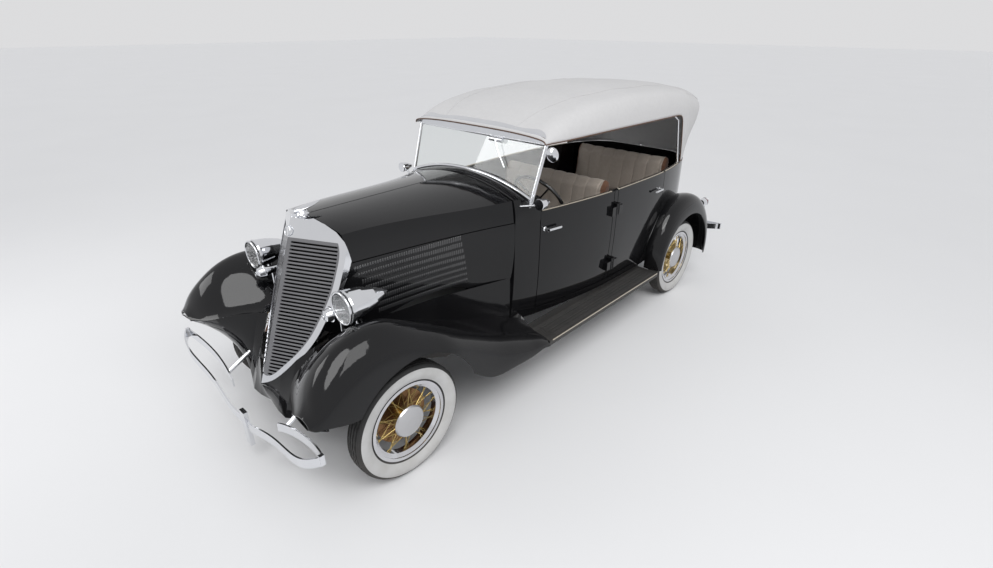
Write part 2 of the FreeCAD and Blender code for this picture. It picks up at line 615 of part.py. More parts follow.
def make_body():
    """Tub with its raised rear floor and wheelhouses, four doors and the cowl."""
    outer = body_solid(0, S.sill_bottom, S.belt_height)
    floor = S.sill_bottom + S.floor_thickness
    inner = body_solid(S.body_wall, floor, S.belt_height + S.overrun)
    hub_line = (V(-1000, S.wheelbase, S.tyre_radius), V(1, 0, 0))
    arch = Part.makeCylinder(S.wheelhouse_radius, 2000, *hub_line)
    arch = arch.cut(block(-S.wheelhouse_inset, S.wheelhouse_inset, 0, 6000, -1000, 3000))
    house = Part.makeCylinder(S.wheelhouse_radius + S.wheelhouse_wall, 2000, *hub_line)
    house_inset = S.wheelhouse_inset - S.wheelhouse_wall
    house = house.cut(block(-house_inset, house_inset, 0, 6000, -1000, 3000))
    step = S.kick_up_y - S.body_wall
    under = S.rear_floor_top - S.floor_thickness
    raised = block(-1000, 1000, step, 6000, 0, S.rear_floor_top)
    pocket = body_solid(S.body_wall, S.sill_bottom - S.overrun, under).common(block(-1000, 1000, S.kick_up_y, 6000, 0, under))
    shell = outer.cut(inner.cut(house).cut(raised)).cut(pocket.cut(house)).cut(arch)
    panels = outer.cut(inner).cut(house)
    core = body_solid(S.body_wall + S.panel_gap, floor, S.belt_height + S.overrun)
    doors = {}
    for side_name, side in SIDES.items():
        for which in ("front", "rear"):
            doors[which + "_" + side_name] = panels.common(door_region(side, which, 0))
            shell = shell.cut(door_region(side, which, S.panel_gap).cut(core))
    tub = shell.cut(block(-1000, 1000, 0, S.cowl_rear, 0, 3000))
    rail_half = S.rail_width / 2 + S.panel_gap
    for side in (1, -1):
        tub = tub.cut(block(side * S.rail_offset - rail_half, side * S.rail_offset + rail_half, S.rail_tail_y - 300, 6000,
                            under - S.rail_depth - 2 * S.panel_gap, under))
    hinges = pillar_hinges()
    tub = tub.multiFuse(hinges + [mirrored(h) for h in hinges])
    tub.translate(V(0, FRONT, 0))
    node(shape_object("body_tub", tub), "body_tub")
    make_cowl(outer)
    for name, solid in doors.items():
        make_door(name, solid)


def make_door(name, panel):
    """Door panel with hinge knuckles at the pillar and a handle at the free end."""
    which, side_name = name.split("_")
    side = SIDES[side_name]
    sign = -1 if which == "front" else 1
    hinge_y = S.pillar_y + sign * S.pillar_half_width * 0.6
    x = S.body_half_width + S.hinge_standoff
    parts = []
    tip = hinge_y + sign * S.hinge_reach
    edge = S.pillar_y + sign * (S.pillar_half_width + S.panel_gap)
    for level in (S.upper_hinge_height, S.lower_hinge_height):
        low, high = level - S.hinge_height / 2, level + S.hinge_height / 2
        parts.append(Part.makeCylinder(S.hinge_radius, S.hinge_height, V(x, hinge_y, low)))
        parts.append(block(x - S.hinge_leaf, x + 2, min(hinge_y, tip), max(hinge_y, tip), low, high))
        parts.append(block(S.body_half_width - S.hinge_bury, x + 2, min(edge, tip), max(edge, tip), low, high))
    handle_y = 1325 + 40 if which == "front" else 2820
    half = interpolate(PLAN, handle_y)
    tip = handle_y - sign * S.handle_length
    parts.append(rod((half - 8, handle_y, S.handle_height), (half + S.handle_standoff, handle_y, S.handle_height), S.handle_radius * 1.4))
    parts.append(rod((half + S.handle_standoff, handle_y + sign * 6, S.handle_height),
                     (interpolate(PLAN, tip) + S.handle_standoff, tip, S.handle_height), S.handle_radius))
    if side < 0:
        parts = [mirrored(p) for p in parts]
    solid = panel.multiFuse(parts)
    solid.translate(V(0, FRONT, 0))
    node(shape_object("door_" + name, solid), "door_" + name)


COWL = [(1120, 548, 526, 1358, 1450), (1213, 575, 572, 1352, 1458), (1334, 604, 596, 1290, 1370)]


def cowl_section(y, belt, crease, crease_z, centre_z, inset):
    """Closed cross-section of the cowl at a place, from its level base over the crown."""
    base = S.belt_height - 60 - (S.overrun if inset > 0 else 0)
    side = [(belt - inset, y, base), (belt - inset + 1, y, 1220), (crease - inset, y, crease_z - inset * 0.8)]
    top = [(crease - inset, y, crease_z - inset * 0.8), (crease * 0.55, y, centre_z - inset - (centre_z - crease_z) * 0.3),
           (0, y, centre_z - inset)]
    left = [(-a, b, c) for a, b, c in side]
    crown = top + [(-a, b, c) for a, b, c in reversed(top[:-1])]
    base_line = Part.makeLine(V(*left[0]), V(*side[0]))
    return closed([spline(side), spline(crown), spline(left), base_line])


def cowl_crown(inset):
    """Crowned upper part of the cowl, or its hollow where an inset is given."""
    rows = []
    for i, (y, belt, crease, crease_z, centre_z) in enumerate(COWL):
        shift = S.cowl_wall if i == 0 else S.overrun if i == 2 else 0
        rows.append(cowl_section(y + (shift if inset > 0 else 0), belt, crease, crease_z, centre_z, inset))
    return loft(rows)


def cowl_hollow(inset):
    """Space within the cowl, kept off its skin by an inset."""
    low = body_solid(inset, S.sill_bottom + S.floor_thickness, S.belt_height + S.overrun)
    low = low.common(block(-1000, 1000, S.body_front + S.cowl_wall, S.cowl_rear + 100, 0, 3000))
    return cowl_crown(inset).fuse(low)


def hood_rod():
    """Rod on the centre line that both hood panels turn beside."""
    start, stop = CUT_LINE[-2][0] + 8, S.body_front + 1
    return rod((0, start, hood_crown(start) - S.hood_bead_radius), (0, stop, hood_crown(stop) - S.hood_bead_radius),
               S.hood_rod_radius)


def make_cowl(outer):
    """Cowl: sides, firewall and crowned top, open to the cabin."""
    lower = outer.common(block(-1000, 1000, 1100, S.cowl_rear, 0, S.belt_height - 60))
    cowl = cowl_crown(0).fuse(lower).cut(cowl_hollow(S.cowl_wall))
    for side in (1, -1):
        cowl = cowl.cut(door_region(side, "front", S.panel_gap))
    cowl = cowl.common(block(-1000, 1000, 0, S.cowl_rear, 0, 3000)).fuse(hood_rod())
    cowl.translate(V(0, FRONT, 0))
    node(shape_object("cowl", cowl), "cowl")


# Hood, radiator shell and grille

HOOD = [(-330, 268, 250, 262, 1340), (0, 318, 296, 306, 1378), (560, 408, 372, 396, 1368), (1115, 547, 520, 525, 1358)]


CUT_LINE = [(-310, 480), (-290, 620), (-240, 760), (-180, 870), (-105, 1030), (-40, 1140), (0, 1231),
            (-14, 1340), (-24, 1385), (-60, 1440), (-60, 1600)]


def hood_crown(y):
    """Height of the hood's centre line, which rises evenly to the cowl."""
    return S.hood_crown_front + (S.hood_crown_rear - S.hood_crown_front) * y / S.hood_rear


def hood_section(row, inset, shift=0):
    """Closed cross-section of the hood, from its level base over the crown."""
    y, belt, low, crease, crease_z = row
    centre_z = hood_crown(y)
    y += shift
    base = S.hood_bottom - (S.overrun if inset > 0 else 0)
    side = [(low - inset, y, base), (belt - inset, y, 1190), (crease - inset, y, crease_z - inset)]
    top = [side[-1], (crease * 0.55, y, centre_z - inset - (centre_z - crease_z) * 0.3), (0, y, centre_z - inset)]
    left = [(-a, b, c) for a, b, c in side]
    crown = top + [(-a, b, c) for a, b, c in reversed(top[:-1])]
    base_line = Part.makeLine(V(*left[0]), V(*side[0]))
    return closed([spline(side), spline(crown), spline(left), base_line])


def nose_cutter(shift):
    """Space ahead of the line where the hood meets the radiator shell."""
    points = [V(-1000, y + shift, z) for y, z in CUT_LINE]
    points = [V(-1000, -900, 300), V(-1000, CUT_LINE[0][0] + shift, 300)] + points
    points += [V(-1000, -900, 1600)]
    return Part.Face(Part.makePolygon(points + [points[0]])).extrude(V(2000, 0, 0))


def make_hood():
    """Two top panels hinged on rolled edges beside the centre rod, over two fixed sides."""
    outer = loft([hood_section(row, 0) for row in HOOD])
    last = len(HOOD) - 1
    inner = loft([hood_section(row, S.hood_wall, -S.overrun if i == 0 else S.overrun if i == last else 0)
                  for i, row in enumerate(HOOD)])
    skin = outer.cut(inner).cut(nose_cutter(S.seat_gap))
    skin = skin.cut(block(-1000, 1000, S.hood_rear, 3000, 0, 3000))
    split = S.hood_split_height
    start, stop = CUT_LINE[-2][0] + 14, S.hood_rear - S.panel_gap
    for name, side in SIDES.items():
        low_x, high_x = sorted((side * S.hood_hinge_offset, side * 1000))
        top = skin.common(block(low_x, high_x, -1000, stop, split + S.panel_gap, 3000))
        top = top.cut(nose_cutter(S.panel_gap))
        bead = rod((side * S.hood_hinge_offset, start, hood_crown(start) - S.hood_bead_radius),
                   (side * S.hood_hinge_offset, stop, hood_crown(stop) - S.hood_bead_radius), S.hood_bead_radius)
        top = top.fuse(bead)
        top.translate(V(0, FRONT, 0))
        node(shape_object("hood_" + name, top), "hood_" + name)
    sides = skin.common(block(-1000, 1000, -1000, 3000, 0, split))
    sides.translate(V(0, FRONT, 0))
    node(shape_object("hood_sides", sides), "hood_sides")


SHIELD = [(0, 1436), (180, 1418), (290, 1384), (338, 1300), (346, 1200), (340, 1080), (312, 940),
          (268, 800), (206, 690), (128, 590), (50, 525), (0, 505)]


def shield_wire(inset, y):
    """Front-view outline of the radiator shell."""
    half = SHIELD
    if inset:
        moved = offset_line([(a, b) for a, b in reversed(SHIELD)], -inset)
        half = list(reversed(moved))
        half[0] = (0, SHIELD[0][1] - inset)
        half[-1] = (0, SHIELD[-1][1] + inset * 1.6)
    right = [V(a, y, b) for a, b in half]
    left = [V(-a, y, b) for a, b in half[1:-1]]
    points = right + list(reversed(left))
    crown = left[0:1]
    edges = [spline([tuple(p) for p in [V(-half[1][0], y, half[1][1]), right[0], right[1]]]),
             spline([tuple(p) for p in right[1:]]),
             spline([(-p.x, p.y, p.z) for p in right[1:]])]
    return closed(edges)


def nose_wedge(back, offset):
    """Raked V-shaped space behind the two front faces of the nose, moved back by an offset."""
    slope = (S.nose_tip_y - S.nose_top_y) / (S.nose_top_z - S.nose_tip_z)
    tan = math.tan(math.radians(S.nose_sweep))
    rows = []
    for z in (300, 1700):
        y = -S.nose_top_y + (z - S.nose_top_z) * slope + offset
        rows.append([V(0, y, z), V(600, y + 600 * tan, z), V(600, back, z), V(-600, back, z), V(-600, y + 600 * tan, z)])
    wires = [Part.makePolygon(r + [r[0]]) for r in rows]
    return loft(wires, True)


def make_nose():
    """Radiator shell ring, V grille of level bars and the core behind it."""
    outer = Part.Face(shield_wire(0, -700)).extrude(V(0, 900, 0))
    opening = Part.Face(shield_wire(S.shell_band, -700)).extrude(V(0, 900, 0))
    front = nose_wedge(600, 0)
    shell = outer.cut(opening).common(front).common(nose_cutter(0))
    brow = outer.common(front).common(nose_cutter(0)).common(block(-1000, 1000, -900, 500, 1330, 1500))
    brow = brow.cut(nose_wedge(600, 30).common(opening))
    shell = shell.fuse(brow)
    cap = Part.makeCylinder(S.cap_stem_radius, S.cap_stem_height, V(0, -110, 1420))
    shell = shell.fuse(cap)
    shell.translate(V(0, FRONT, 0))
    node(shape_object("radiator_shell", shell), "radiator_shell")
    inset = Part.Face(shield_wire(S.shell_band + S.seat_gap, -700)).extrude(V(0, 900, 0))
    sheet_v = inset.common(nose_wedge(600, 4)).cut(nose_wedge(600, 4 + S.grille_thickness))
    sheet_v = sheet_v.cut(block(-1000, 1000, -900, 500, 1330 - S.seat_gap, 1500))
    slots = []
    z = 560.0
    while z < 1310:
        half = opening_half_width(z + S.bar_gap / 2) - 12
        if half > S.centre_strip + 20:
            for side in (1, -1):
                x0, x1 = sorted((side * S.centre_strip, side * half))
                slots.append(block(x0, x1, -900, 500, z, z + S.bar_gap))
        z += S.bar_pitch
    grille = sheet_v.cut(Part.makeCompound(slots))
    grille.translate(V(0, FRONT, 0))
    node(shape_object("grille", grille), "grille")
    core = Part.Face(shield_wire(S.shell_band + S.seat_gap, -700)).extrude(V(0, 900, 0))
    core = core.common(nose_wedge(600, 30 + S.grille_thickness)).cut(nose_wedge(600, 30 + S.grille_thickness + S.core_thickness))
    core = core.cut(block(-1000, 1000, -900, 500, 1310, 1500)).common(nose_cutter(0))
    core.translate(V(0, FRONT, 0))
    node(shape_object("radiator_core", core), "radiator_core")


def opening_half_width(z):
    rows = [(b, a - S.shell_band) for a, b in reversed(SHIELD)]
    return interpolate(rows, z)


# Fenders, running boards and aprons

FENDER_STATIONS = (-596, -548, -480, -390, -280, -160, -30, 110, 260, 420, 600, 800, 1000, 1180)
FENDER_COLUMNS = (
    ((-596, 640), (-500, 470), (-400, 400), (-290, 330), (-170, 268), (0, 276), (560, 348), (1115, 508), (1180, 532)),
    ((-596, 716), (-400, 775), (-170, 765), (53, 746), (293, 728), (410, 700), (524, 642), (694, 592), (905, 540),
     (1180, 500)),
    ((-596, 740), (-400, 702), (300, 708), (1180, 730)),
    ((-596, 742), (-500, 885), (-400, 972), (-290, 1022), (-170, 1038), (-50, 1018), (65, 965), (300, 838),
     (500, 712), (780, 562), (1180, 412)),
    ((-596, 800), (-540, 838), (-400, 852), (300, 853), (1180, 848)),
    ((-596, 705), (-500, 684), (-400, 655), (-290, 650), (0, 645), (250, 640), (449, 496), (522, 430), (620, 396),
     (780, 374), (1180, 352)))
APRON_TOP = [(0, -486, 502), (128, -415, 588), (206, -345, 690), (275, -262, 768), (330, -300, 774),
             (400, -400, 772), (470, -500, 748), (560, -560, 730), (640, -594, 716), (790, -600, 702)]
APRON_FOOT = [(0, -453, 365), (110, -465, 352), (200, -466, 350), (270, -440, 370), (330, -420, 405),
              (400, -407, 451), (500, -410, 500), (600, -430, 545), (700, -459, 577), (800, -507, 640)]
VALANCE = [(-160, 268, 262), (0, 293, 280), (560, 370, 352), (1115, 518, 512)]
REAR_FENDER = [(4, 505), (20, 545), (40, 590), (60, 617), (80, 624), (100, 622), (120, 612), (142, 598),
               (166, 580), (188, 566)]


def crown_line(xi, zi, xc, zc, xo, zo):
    """Points over a fender from its inner edge, over the crown, to its outer edge."""
    rise = [(0, 0), (0.22, 0.16), (0.45, 0.52), (0.68, 0.83), (0.86, 0.965)]
    inner = [(xi + a * (xc - xi), zi + b * (zc - zi)) for a, b in rise]
    return inner + [(xc, zc), (xc + 0.5 * (xo - xc), zc - 0.14 * (zc - zo)), (xc + 0.86 * (xo - xc), zc - 0.46 * (zc - zo)),
            (xo, zo)]


def smooth(table, at):
    """Value of a table of (place, value) pairs at a place, along a curve that never overshoots."""
    slopes = [(vb - va) / (b - a) for (a, va), (b, vb) in zip(table, table[1:])]
    turns = [slopes[0]]
    for left, right in zip(slopes, slopes[1:]):
        turns.append(0 if left * right <= 0 else 2 * left * right / (left + right))
    turns.append(slopes[-1])
    for i, ((a, va), (b, vb)) in enumerate(zip(table, table[1:])):
        if at <= b or i == len(slopes) - 1:
            run = b - a
            t = min(max((at - a) / run, 0), 1)
            return (va * (1 + 2 * t) * (1 - t) ** 2 + vb * t * t * (3 - 2 * t)
                    + run * (turns[i] * t * (1 - t) ** 2 - turns[i + 1] * t * t * (1 - t)))


def fender_line(y):
    return crown_line(*[smooth(column, y) for column in FENDER_COLUMNS])


def skirt(line, shift, level, to_space):
    """Closed section between a line moved square to itself and a level."""
    moved = offset_line(line, shift)
    points = [to_space(*p) for p in moved]
    feet = [to_space(moved[-1][0], level), to_space(moved[0][0], level)]
    sides = [Part.makeLine(V(*points[-1]), V(*feet[0])), Part.makeLine(V(*feet[0]), V(*feet[1])),
             Part.makeLine(V(*feet[1]), V(*points[0]))]
    return closed([spline(points)] + sides)


def fender_space(shift, level, rear_half=False):
    """Space between the left front fender's skin, moved by a shift, and a level."""
    stations = FENDER_STATIONS[3:] if rear_half else FENDER_STATIONS
    return loft([skirt(fender_line(y), shift, level, lambda a, b, y=y: (a, y, b)) for y in stations])


def make_front_fenders():
    """Crowned front fenders, their valances beside the hood and the apron between them."""
    wires = [band(fender_line(y), S.fender_wall, lambda a, b, y=y: (a, y, b)) for y in FENDER_STATIONS]
    fender = loft(wires)
    arch = Part.makeCylinder(S.arch_radius, 200, V(800, 0, S.tyre_radius), V(1, 0, 0))
    fender = fender.cut(arch)
    rows = []
    for y, top, low in VALANCE:
        foot = smooth(FENDER_COLUMNS[1], y) - 60
        head = S.hood_bottom - S.seat_gap
        quad = [V(top - S.valance_wall, y, head), V(top, y, head), V(low, y, foot), V(low - S.valance_wall, y, foot)]
        rows.append(Part.makePolygon(quad + [quad[0]]))
    fender = fender.fuse(loft(rows, True))
    half = fender.fuse(loft_strip(APRON_FOOT, APRON_TOP, S.fender_wall))
    whole = half.fuse(mirrored(half))
    whole = whole.cut(Part.Face(shield_wire(-S.seat_gap, -700)).extrude(V(0, 900, 0)).common(nose_wedge(600, -60)))
    whole = whole.cut(loft([hood_section(row, -S.seat_gap) for row in HOOD]))
    whole = whole.cut(body_solid(-S.seat_gap, S.sill_bottom, S.belt_height))
    for side in (1, -1):
        whole = whole.cut(bumper_arm(side, S.bumper_arm_radius + S.fender_wall / 2))
    whole.translate(V(0, FRONT, 0))
    node(shape_object("front_fenders", whole), "front_fenders")


def bumper_arm(side, radius):
    """Bar that carries a front bumper, from the rail's end through the apron."""
    return rod((side * S.rail_offset, -S.rail_nose_y - S.seat_gap - 8, 540), (side * (S.rail_offset + 10), -536, 428), radius)


def loft_strip(lower, upper, wall):
    """Bent sheet between two matching rows of points, thickened to the rear."""
    sections = []
    for a, b in zip(lower, upper):
        quad = [V(*a), V(*b), V(b[0], b[1] + wall, b[2]), V(a[0], a[1] + wall, a[2])]
        sections.append(Part.makePolygon(quad + [quad[0]]))
    return loft(sections, True)


def rear_fender_sections(make):
    """Cross-sections of the left rear fender round its wheel, each made by a function of its line."""
    sections = []
    for angle, crown in REAR_FENDER:
        turn = math.radians(angle)

        def to_space(a, r, turn=turn):
            return (a, S.wheelbase - r * math.cos(turn), S.tyre_radius + r * math.sin(turn))

        line = [(560, crown - 70), (640, crown - 22), (700, crown - 4), (735, crown), (790, crown - 14),
                (833, crown - 0.45 * (crown - S.arch_radius)), (850, S.arch_radius)]
        sections.append(make(line, to_space))
    return sections


def make_rear_fenders(body):
    fender = loft(rear_fender_sections(lambda line, to_space: band(line, S.fender_wall, to_space)))
    whole = both_sides(fender).cut(body)
    whole.translate(V(0, FRONT, 0))
    node(shape_object("rear_fenders", whole), "rear_fenders")


def make_running_boards():
    """Ribbed boards from the front fenders to the rear ones."""
    solids = []
    for side in (1, -1):
        x0, x1 = sorted((side * S.board_inner, side * (S.fender_half_width - 8)))
        low = S.board_top - S.board_depth
        board = block(x0, x1, 1180 + S.seat_gap, 2744, low, S.board_top)
        ribs = []
        pitch = (S.fender_half_width - 30 - S.board_inner - 60) / S.rib_count
        for i in range(int(S.rib_count)):
            x = side * (S.board_inner + 50 + pitch * i)
            ribs.append(block(x - S.rib_width / 2, x + S.rib_width / 2, 1190, 2735, S.board_top - 1, S.board_top + S.rib_height))
        a0, a1 = sorted((side * (S.board_inner - 6), side * S.board_inner))
        apron = block(a0, a1, 1180 + S.seat_gap, 2744, low, S.sill_bottom - S.seat_gap)
        solids.append(board.multiFuse(ribs + [apron]))
    boards = Part.makeCompound(solids)
    boards.translate(V(0, FRONT, 0))
    node(shape_object("running_boards", boards), "running_boards")


# Windshield, canvas top, seats and controls

def screen_arch():
    """Points of the windshield's lower edge, which follows the crown of the cowl."""
    x, y, z = S.screen_half_width, S.screen_foot_y, S.screen_foot_z
    right = [(x * 0.5, y, z + S.screen_arch * 0.78), (x, y, z)]
    return [(-a, b, c) for a, b, c in reversed(right)] + [(0, y, z + S.screen_arch)] + right


def screen_bars(radius):
    """Posts, header and lower moulding of the windshield as round bars."""
    foot = (S.screen_half_width, S.screen_foot_y, S.screen_foot_z)
    head = (S.screen_top_half_width, S.screen_top_y, S.screen_top_z)
    bars = [rod((s * foot[0], foot[1], foot[2] - 20), (s * head[0], head[1], head[2]), radius) for s in (1, -1)]
    bars.append(rod((-head[0], head[1], head[2]), head, radius))
    path = Part.Wire([spline(screen_arch())])
    edge = path.Edges[0]
    ring = Part.Wire([Part.makeCircle(radius, V(*screen_arch()[0]), edge.tangentAt(edge.FirstParameter))])
    bars.append(positive(path.makePipeShell([ring], True, False)))
    return bars[0].multiFuse(bars[1:])


def make_windshield():
    """Chrome frame that seats on the cowl, and its pane."""
    r = S.screen_bar / 2
    brackets = []
    for side in (1, -1):
        x0, x1 = sorted((side * 540, side * S.screen_half_width))
        brackets.append(block(x0, x1, S.screen_foot_y - 16, S.screen_foot_y + 12, S.screen_foot_z - 50, S.screen_foot_z - 8))
    frame = screen_bars(r).multiFuse(brackets).cut(cowl_crown(-S.seat_gap))
    frame.translate(V(0, FRONT, 0))
    node(shape_object("windshield_frame", frame), "windshield_frame")
    lean = (S.screen_top_y - S.screen_foot_y) / (S.screen_top_z - S.screen_foot_z)
    bottom = [(x, 0, z) for x, y, z in screen_arch()]
    corner = (S.screen_top_half_width, 0, S.screen_top_z)
    points = [spline(bottom), Part.makeLine(V(*bottom[-1]), V(*corner)),
              Part.makeLine(V(*corner), V(-corner[0], 0, corner[2])),
              Part.makeLine(V(-corner[0], 0, corner[2]), V(*bottom[0]))]
    glass = Part.Face(closed(points)).extrude(V(0, S.glass_thickness, 0))
    shear = FreeCAD.Matrix()
    shear.A23 = lean
    shear.A24 = S.screen_foot_y - lean * S.screen_foot_z - S.glass_thickness / 2
    glass = glass.transformGeometry(shear).cut(screen_bars(r + S.seat_gap))
    glass = max(glass.Solids, key=lambda solid: solid.Volume)
    glass.translate(V(0, FRONT, 0))
    node(shape_object("windshield_glass", glass), "windshield_glass")


TOP = [(1290, 640, 600, 1700, 1716, 1748), (1450, 650, 620, 1700, 1780, 1846),
       (1750, 656, 650, 1698, 1830, 1925), (2100, 658, 656, 1696, 1850, 1956),
       (2650, 658, 658, 1690, 1852, 1960), (3100, 652, 655, 1685, 1836, 1938),
       (3450, 628, 588, 1680, 1800, 1888), (3600, 600, 503, 1676, 1765, 1835),
       (3700, 555, 398, 1672, 1715, 1770), (3728, 520, 340, 1668, 1690, 1735)]
TOP_OPENING = [(1200, 1100), (1200, 1701), (1290, 1700), (1750, 1698), (2100, 1696), (2650, 1690),
               (3100, 1685), (3170, 1670), (3200, 1640), (3290, 1300), (3300, 1256), (3300, 1100)]


def top_section(y, half, belt_half, edge, shoulder, centre, inset):
    """Closed cross-section of the raised top, from the belt up the side and over the roof."""
    base = S.belt_height + S.seat_gap - (S.overrun if inset else 0)
    side = [(belt_half - inset, y, base), (belt_half + (half - belt_half) * 0.6 - inset, y, base + (edge - base) * 0.5),
            (half - inset, y, edge), (half - 4 - inset, y, edge + (shoulder - edge) * 0.6)]
    over = [(half - 44 - inset * 0.8, y, shoulder + (centre - shoulder) * 0.35 - inset * 0.6),
            (half * 0.72, y, shoulder + (centre - shoulder) * 0.74 - inset),
            (half * 0.42, y, shoulder + (centre - shoulder) * 0.94 - inset)]
    right = side + over
    crown = right + [(0, y, centre - inset)] + [(-a, b, c) for a, b, c in reversed(right)]
    return closed([spline(crown), Part.makeLine(V(*crown[-1]), V(*crown[0]))])


def make_top():
    """Canvas roof with its rear quarters and back curtain, and the irons that carry it."""
    outer = loft([top_section(*row, 0) for row in TOP])
    inner_rows = [(TOP[0][0] - S.overrun,) + TOP[0][1:]] + TOP[1:-1]
    inner_rows.append((TOP[-1][0] - S.top_wall,) + TOP[-1][1:])
    roof = outer.cut(loft([top_section(*row, S.top_wall) for row in inner_rows]))
    side_view = [V(-1000, a, b) for a, b in TOP_OPENING]
    roof = roof.cut(Part.Face(Part.makePolygon(side_view + [side_view[0]])).extrude(V(2000, 0, 0)))
    roof.translate(V(0, FRONT, 0))
    node(shape_object("canvas_top", roof), "canvas_top")
    make_irons(loft([top_section(*row, S.top_wall + S.seat_gap) for row in inner_rows]))


IRON = [(618, 3286, 1262), (625, 3165, 1640), (627, 3050, 1700), (632, 2650, 1704), (632, 2100, 1708),
        (630, 1750, 1708), (623, 1450, 1710), (606, 1352, 1716)]


def make_irons(space):
    """Folding irons inside the canvas, joined by the header bow on the windshield."""
    r = S.iron_radius
    parts = []
    for a, b in zip(IRON, IRON[1:]):
        parts.append(rod(a, b, r))
        parts.append(Part.makeSphere(r * 1.15, V(*b)))
    foot = V(IRON[0][0], IRON[0][1], S.belt_height + S.seat_gap)
    parts.append(Part.makeCylinder(r * 1.2, 16, foot))
    bow = block(-640, 640, 1318, 1362, 1690, 1900).common(space)
    head = (S.screen_top_half_width + 40, S.screen_top_y, S.screen_top_z)
    bow = bow.cut(rod((-head[0], head[1], head[2]), head, S.screen_bar / 2 + S.seat_gap))
    bow = bow.cut(block(-700, 700, 1300, 1400, 1600, S.screen_top_z))
    irons = bow.multiFuse(parts + [mirrored(p) for p in parts])
    irons.translate(V(0, FRONT, 0))
    node(shape_object("top_irons", irons), "top_irons")


def make_seats():
    for name, back_y in (("seat_front", S.front_seat_y), ("seat_rear", S.rear_seat_y)):
        half = S.seat_half_width if name == "seat_front" else S.rear_seat_half_width
        back0 = back_y - S.backrest_thickness
        base = (S.sill_bottom + S.floor_thickness if name == "seat_front" else S.rear_floor_top) + S.seat_gap
        line = [(back0 - S.cushion_depth, base), (back0 - S.cushion_depth, S.cushion_base + S.cushion_height),
                (back0 - 30, S.cushion_base + S.cushion_height - 30), (back0 + 40, S.backrest_height),
                (back_y, S.backrest_height), (back_y, base)]
        points = [V(-half, a, b) for a, b in line]
        seat = Part.Face(Part.makePolygon(points + [points[0]])).extrude(V(2 * half, 0, 0))
        rounded = [e for e in seat.Edges if any(abs(v.Point.z - S.backrest_height) < 1 for v in e.Vertexes)
                   and abs(e.tangentAt(e.FirstParameter).x) > 0.9]
        seat = seat.makeFillet(S.seat_fillet, rounded)
        seat.translate(V(0, FRONT, 0))
        node(shape_object(name, seat), name)


def make_dash():
    """Instrument board with the steering column."""
    tilt = math.radians(S.column_tilt)
    slab = block(-1000, 1000, S.dash_y, S.dash_y + S.dash_thickness, S.dash_bottom, 1500)
    board = slab.common(cowl_hollow(S.cowl_wall + S.seat_gap))
    end = V(S.steering_x, S.steering_y, S.steering_z)
    axis = V(0, math.cos(tilt), math.sin(tilt))
    start = end - axis * S.column_length
    stop = end - axis * (S.wheel_boss_depth + S.seat_gap)
    column = rod(tuple(start), tuple(stop), S.column_radius)
    passing = S.steering_z - (S.steering_y - S.dash_y) * math.tan(tilt)
    half = S.dash_bracket / 2
    bracket = block(S.steering_x - half, S.steering_x + half, S.dash_y, S.dash_y + S.dash_thickness, passing, S.dash_bottom + 2)
    dash = board.multiFuse([bracket, column])
    dash.translate(V(0, FRONT, 0))
    node(shape_object("dashboard", dash), "dashboard")
    ring = Part.makeTorus(S.wheel_ring_radius, S.wheel_ring_wire, end, axis)
    boss = Part.makeCylinder(S.wheel_boss_radius, S.wheel_boss_height, end - axis * S.wheel_boss_depth, axis)
    spokes = []
    across = V(1, 0, 0)
    up = axis.cross(across)
    for quarter in range(4):
        turn = math.radians(45 + 90 * quarter)
        out = across * math.cos(turn) + up * math.sin(turn)
        spokes.append(rod(tuple(end - axis * 30 + out * (S.wheel_boss_radius - 6)), tuple(end + out * S.wheel_ring_radius), 7))
    wheel = ring.multiFuse([boss] + spokes)
    wheel.translate(V(0, FRONT, 0))
    node(shape_object("steering_wheel", wheel), "steering_wheel")


# Lamps, horns, bumpers and tail

def turned(points, centre, direction):
    """Solid of revolution from (along, radius) points, set at a centre along a direction."""
    line = [V(a, 0, r) for a, r in points]
    edges = [spline([tuple(p) for p in line]), Part.makeLine(line[-1], line[0])] if len(line) > 2 and points[0][1] == 0 and points[-1][1] == 0 else [Part.makePolygon(line + [line[0]])]
    wire = closed(edges) if len(edges) == 2 else edges[0]
    solid = positive(Part.Face(wire).revolve(V(), V(1, 0, 0), 360))
    solid.Placement = FreeCAD.Placement(V(*centre), FreeCAD.Rotation(V(1, 0, 0), V(*direction)))
    return solid


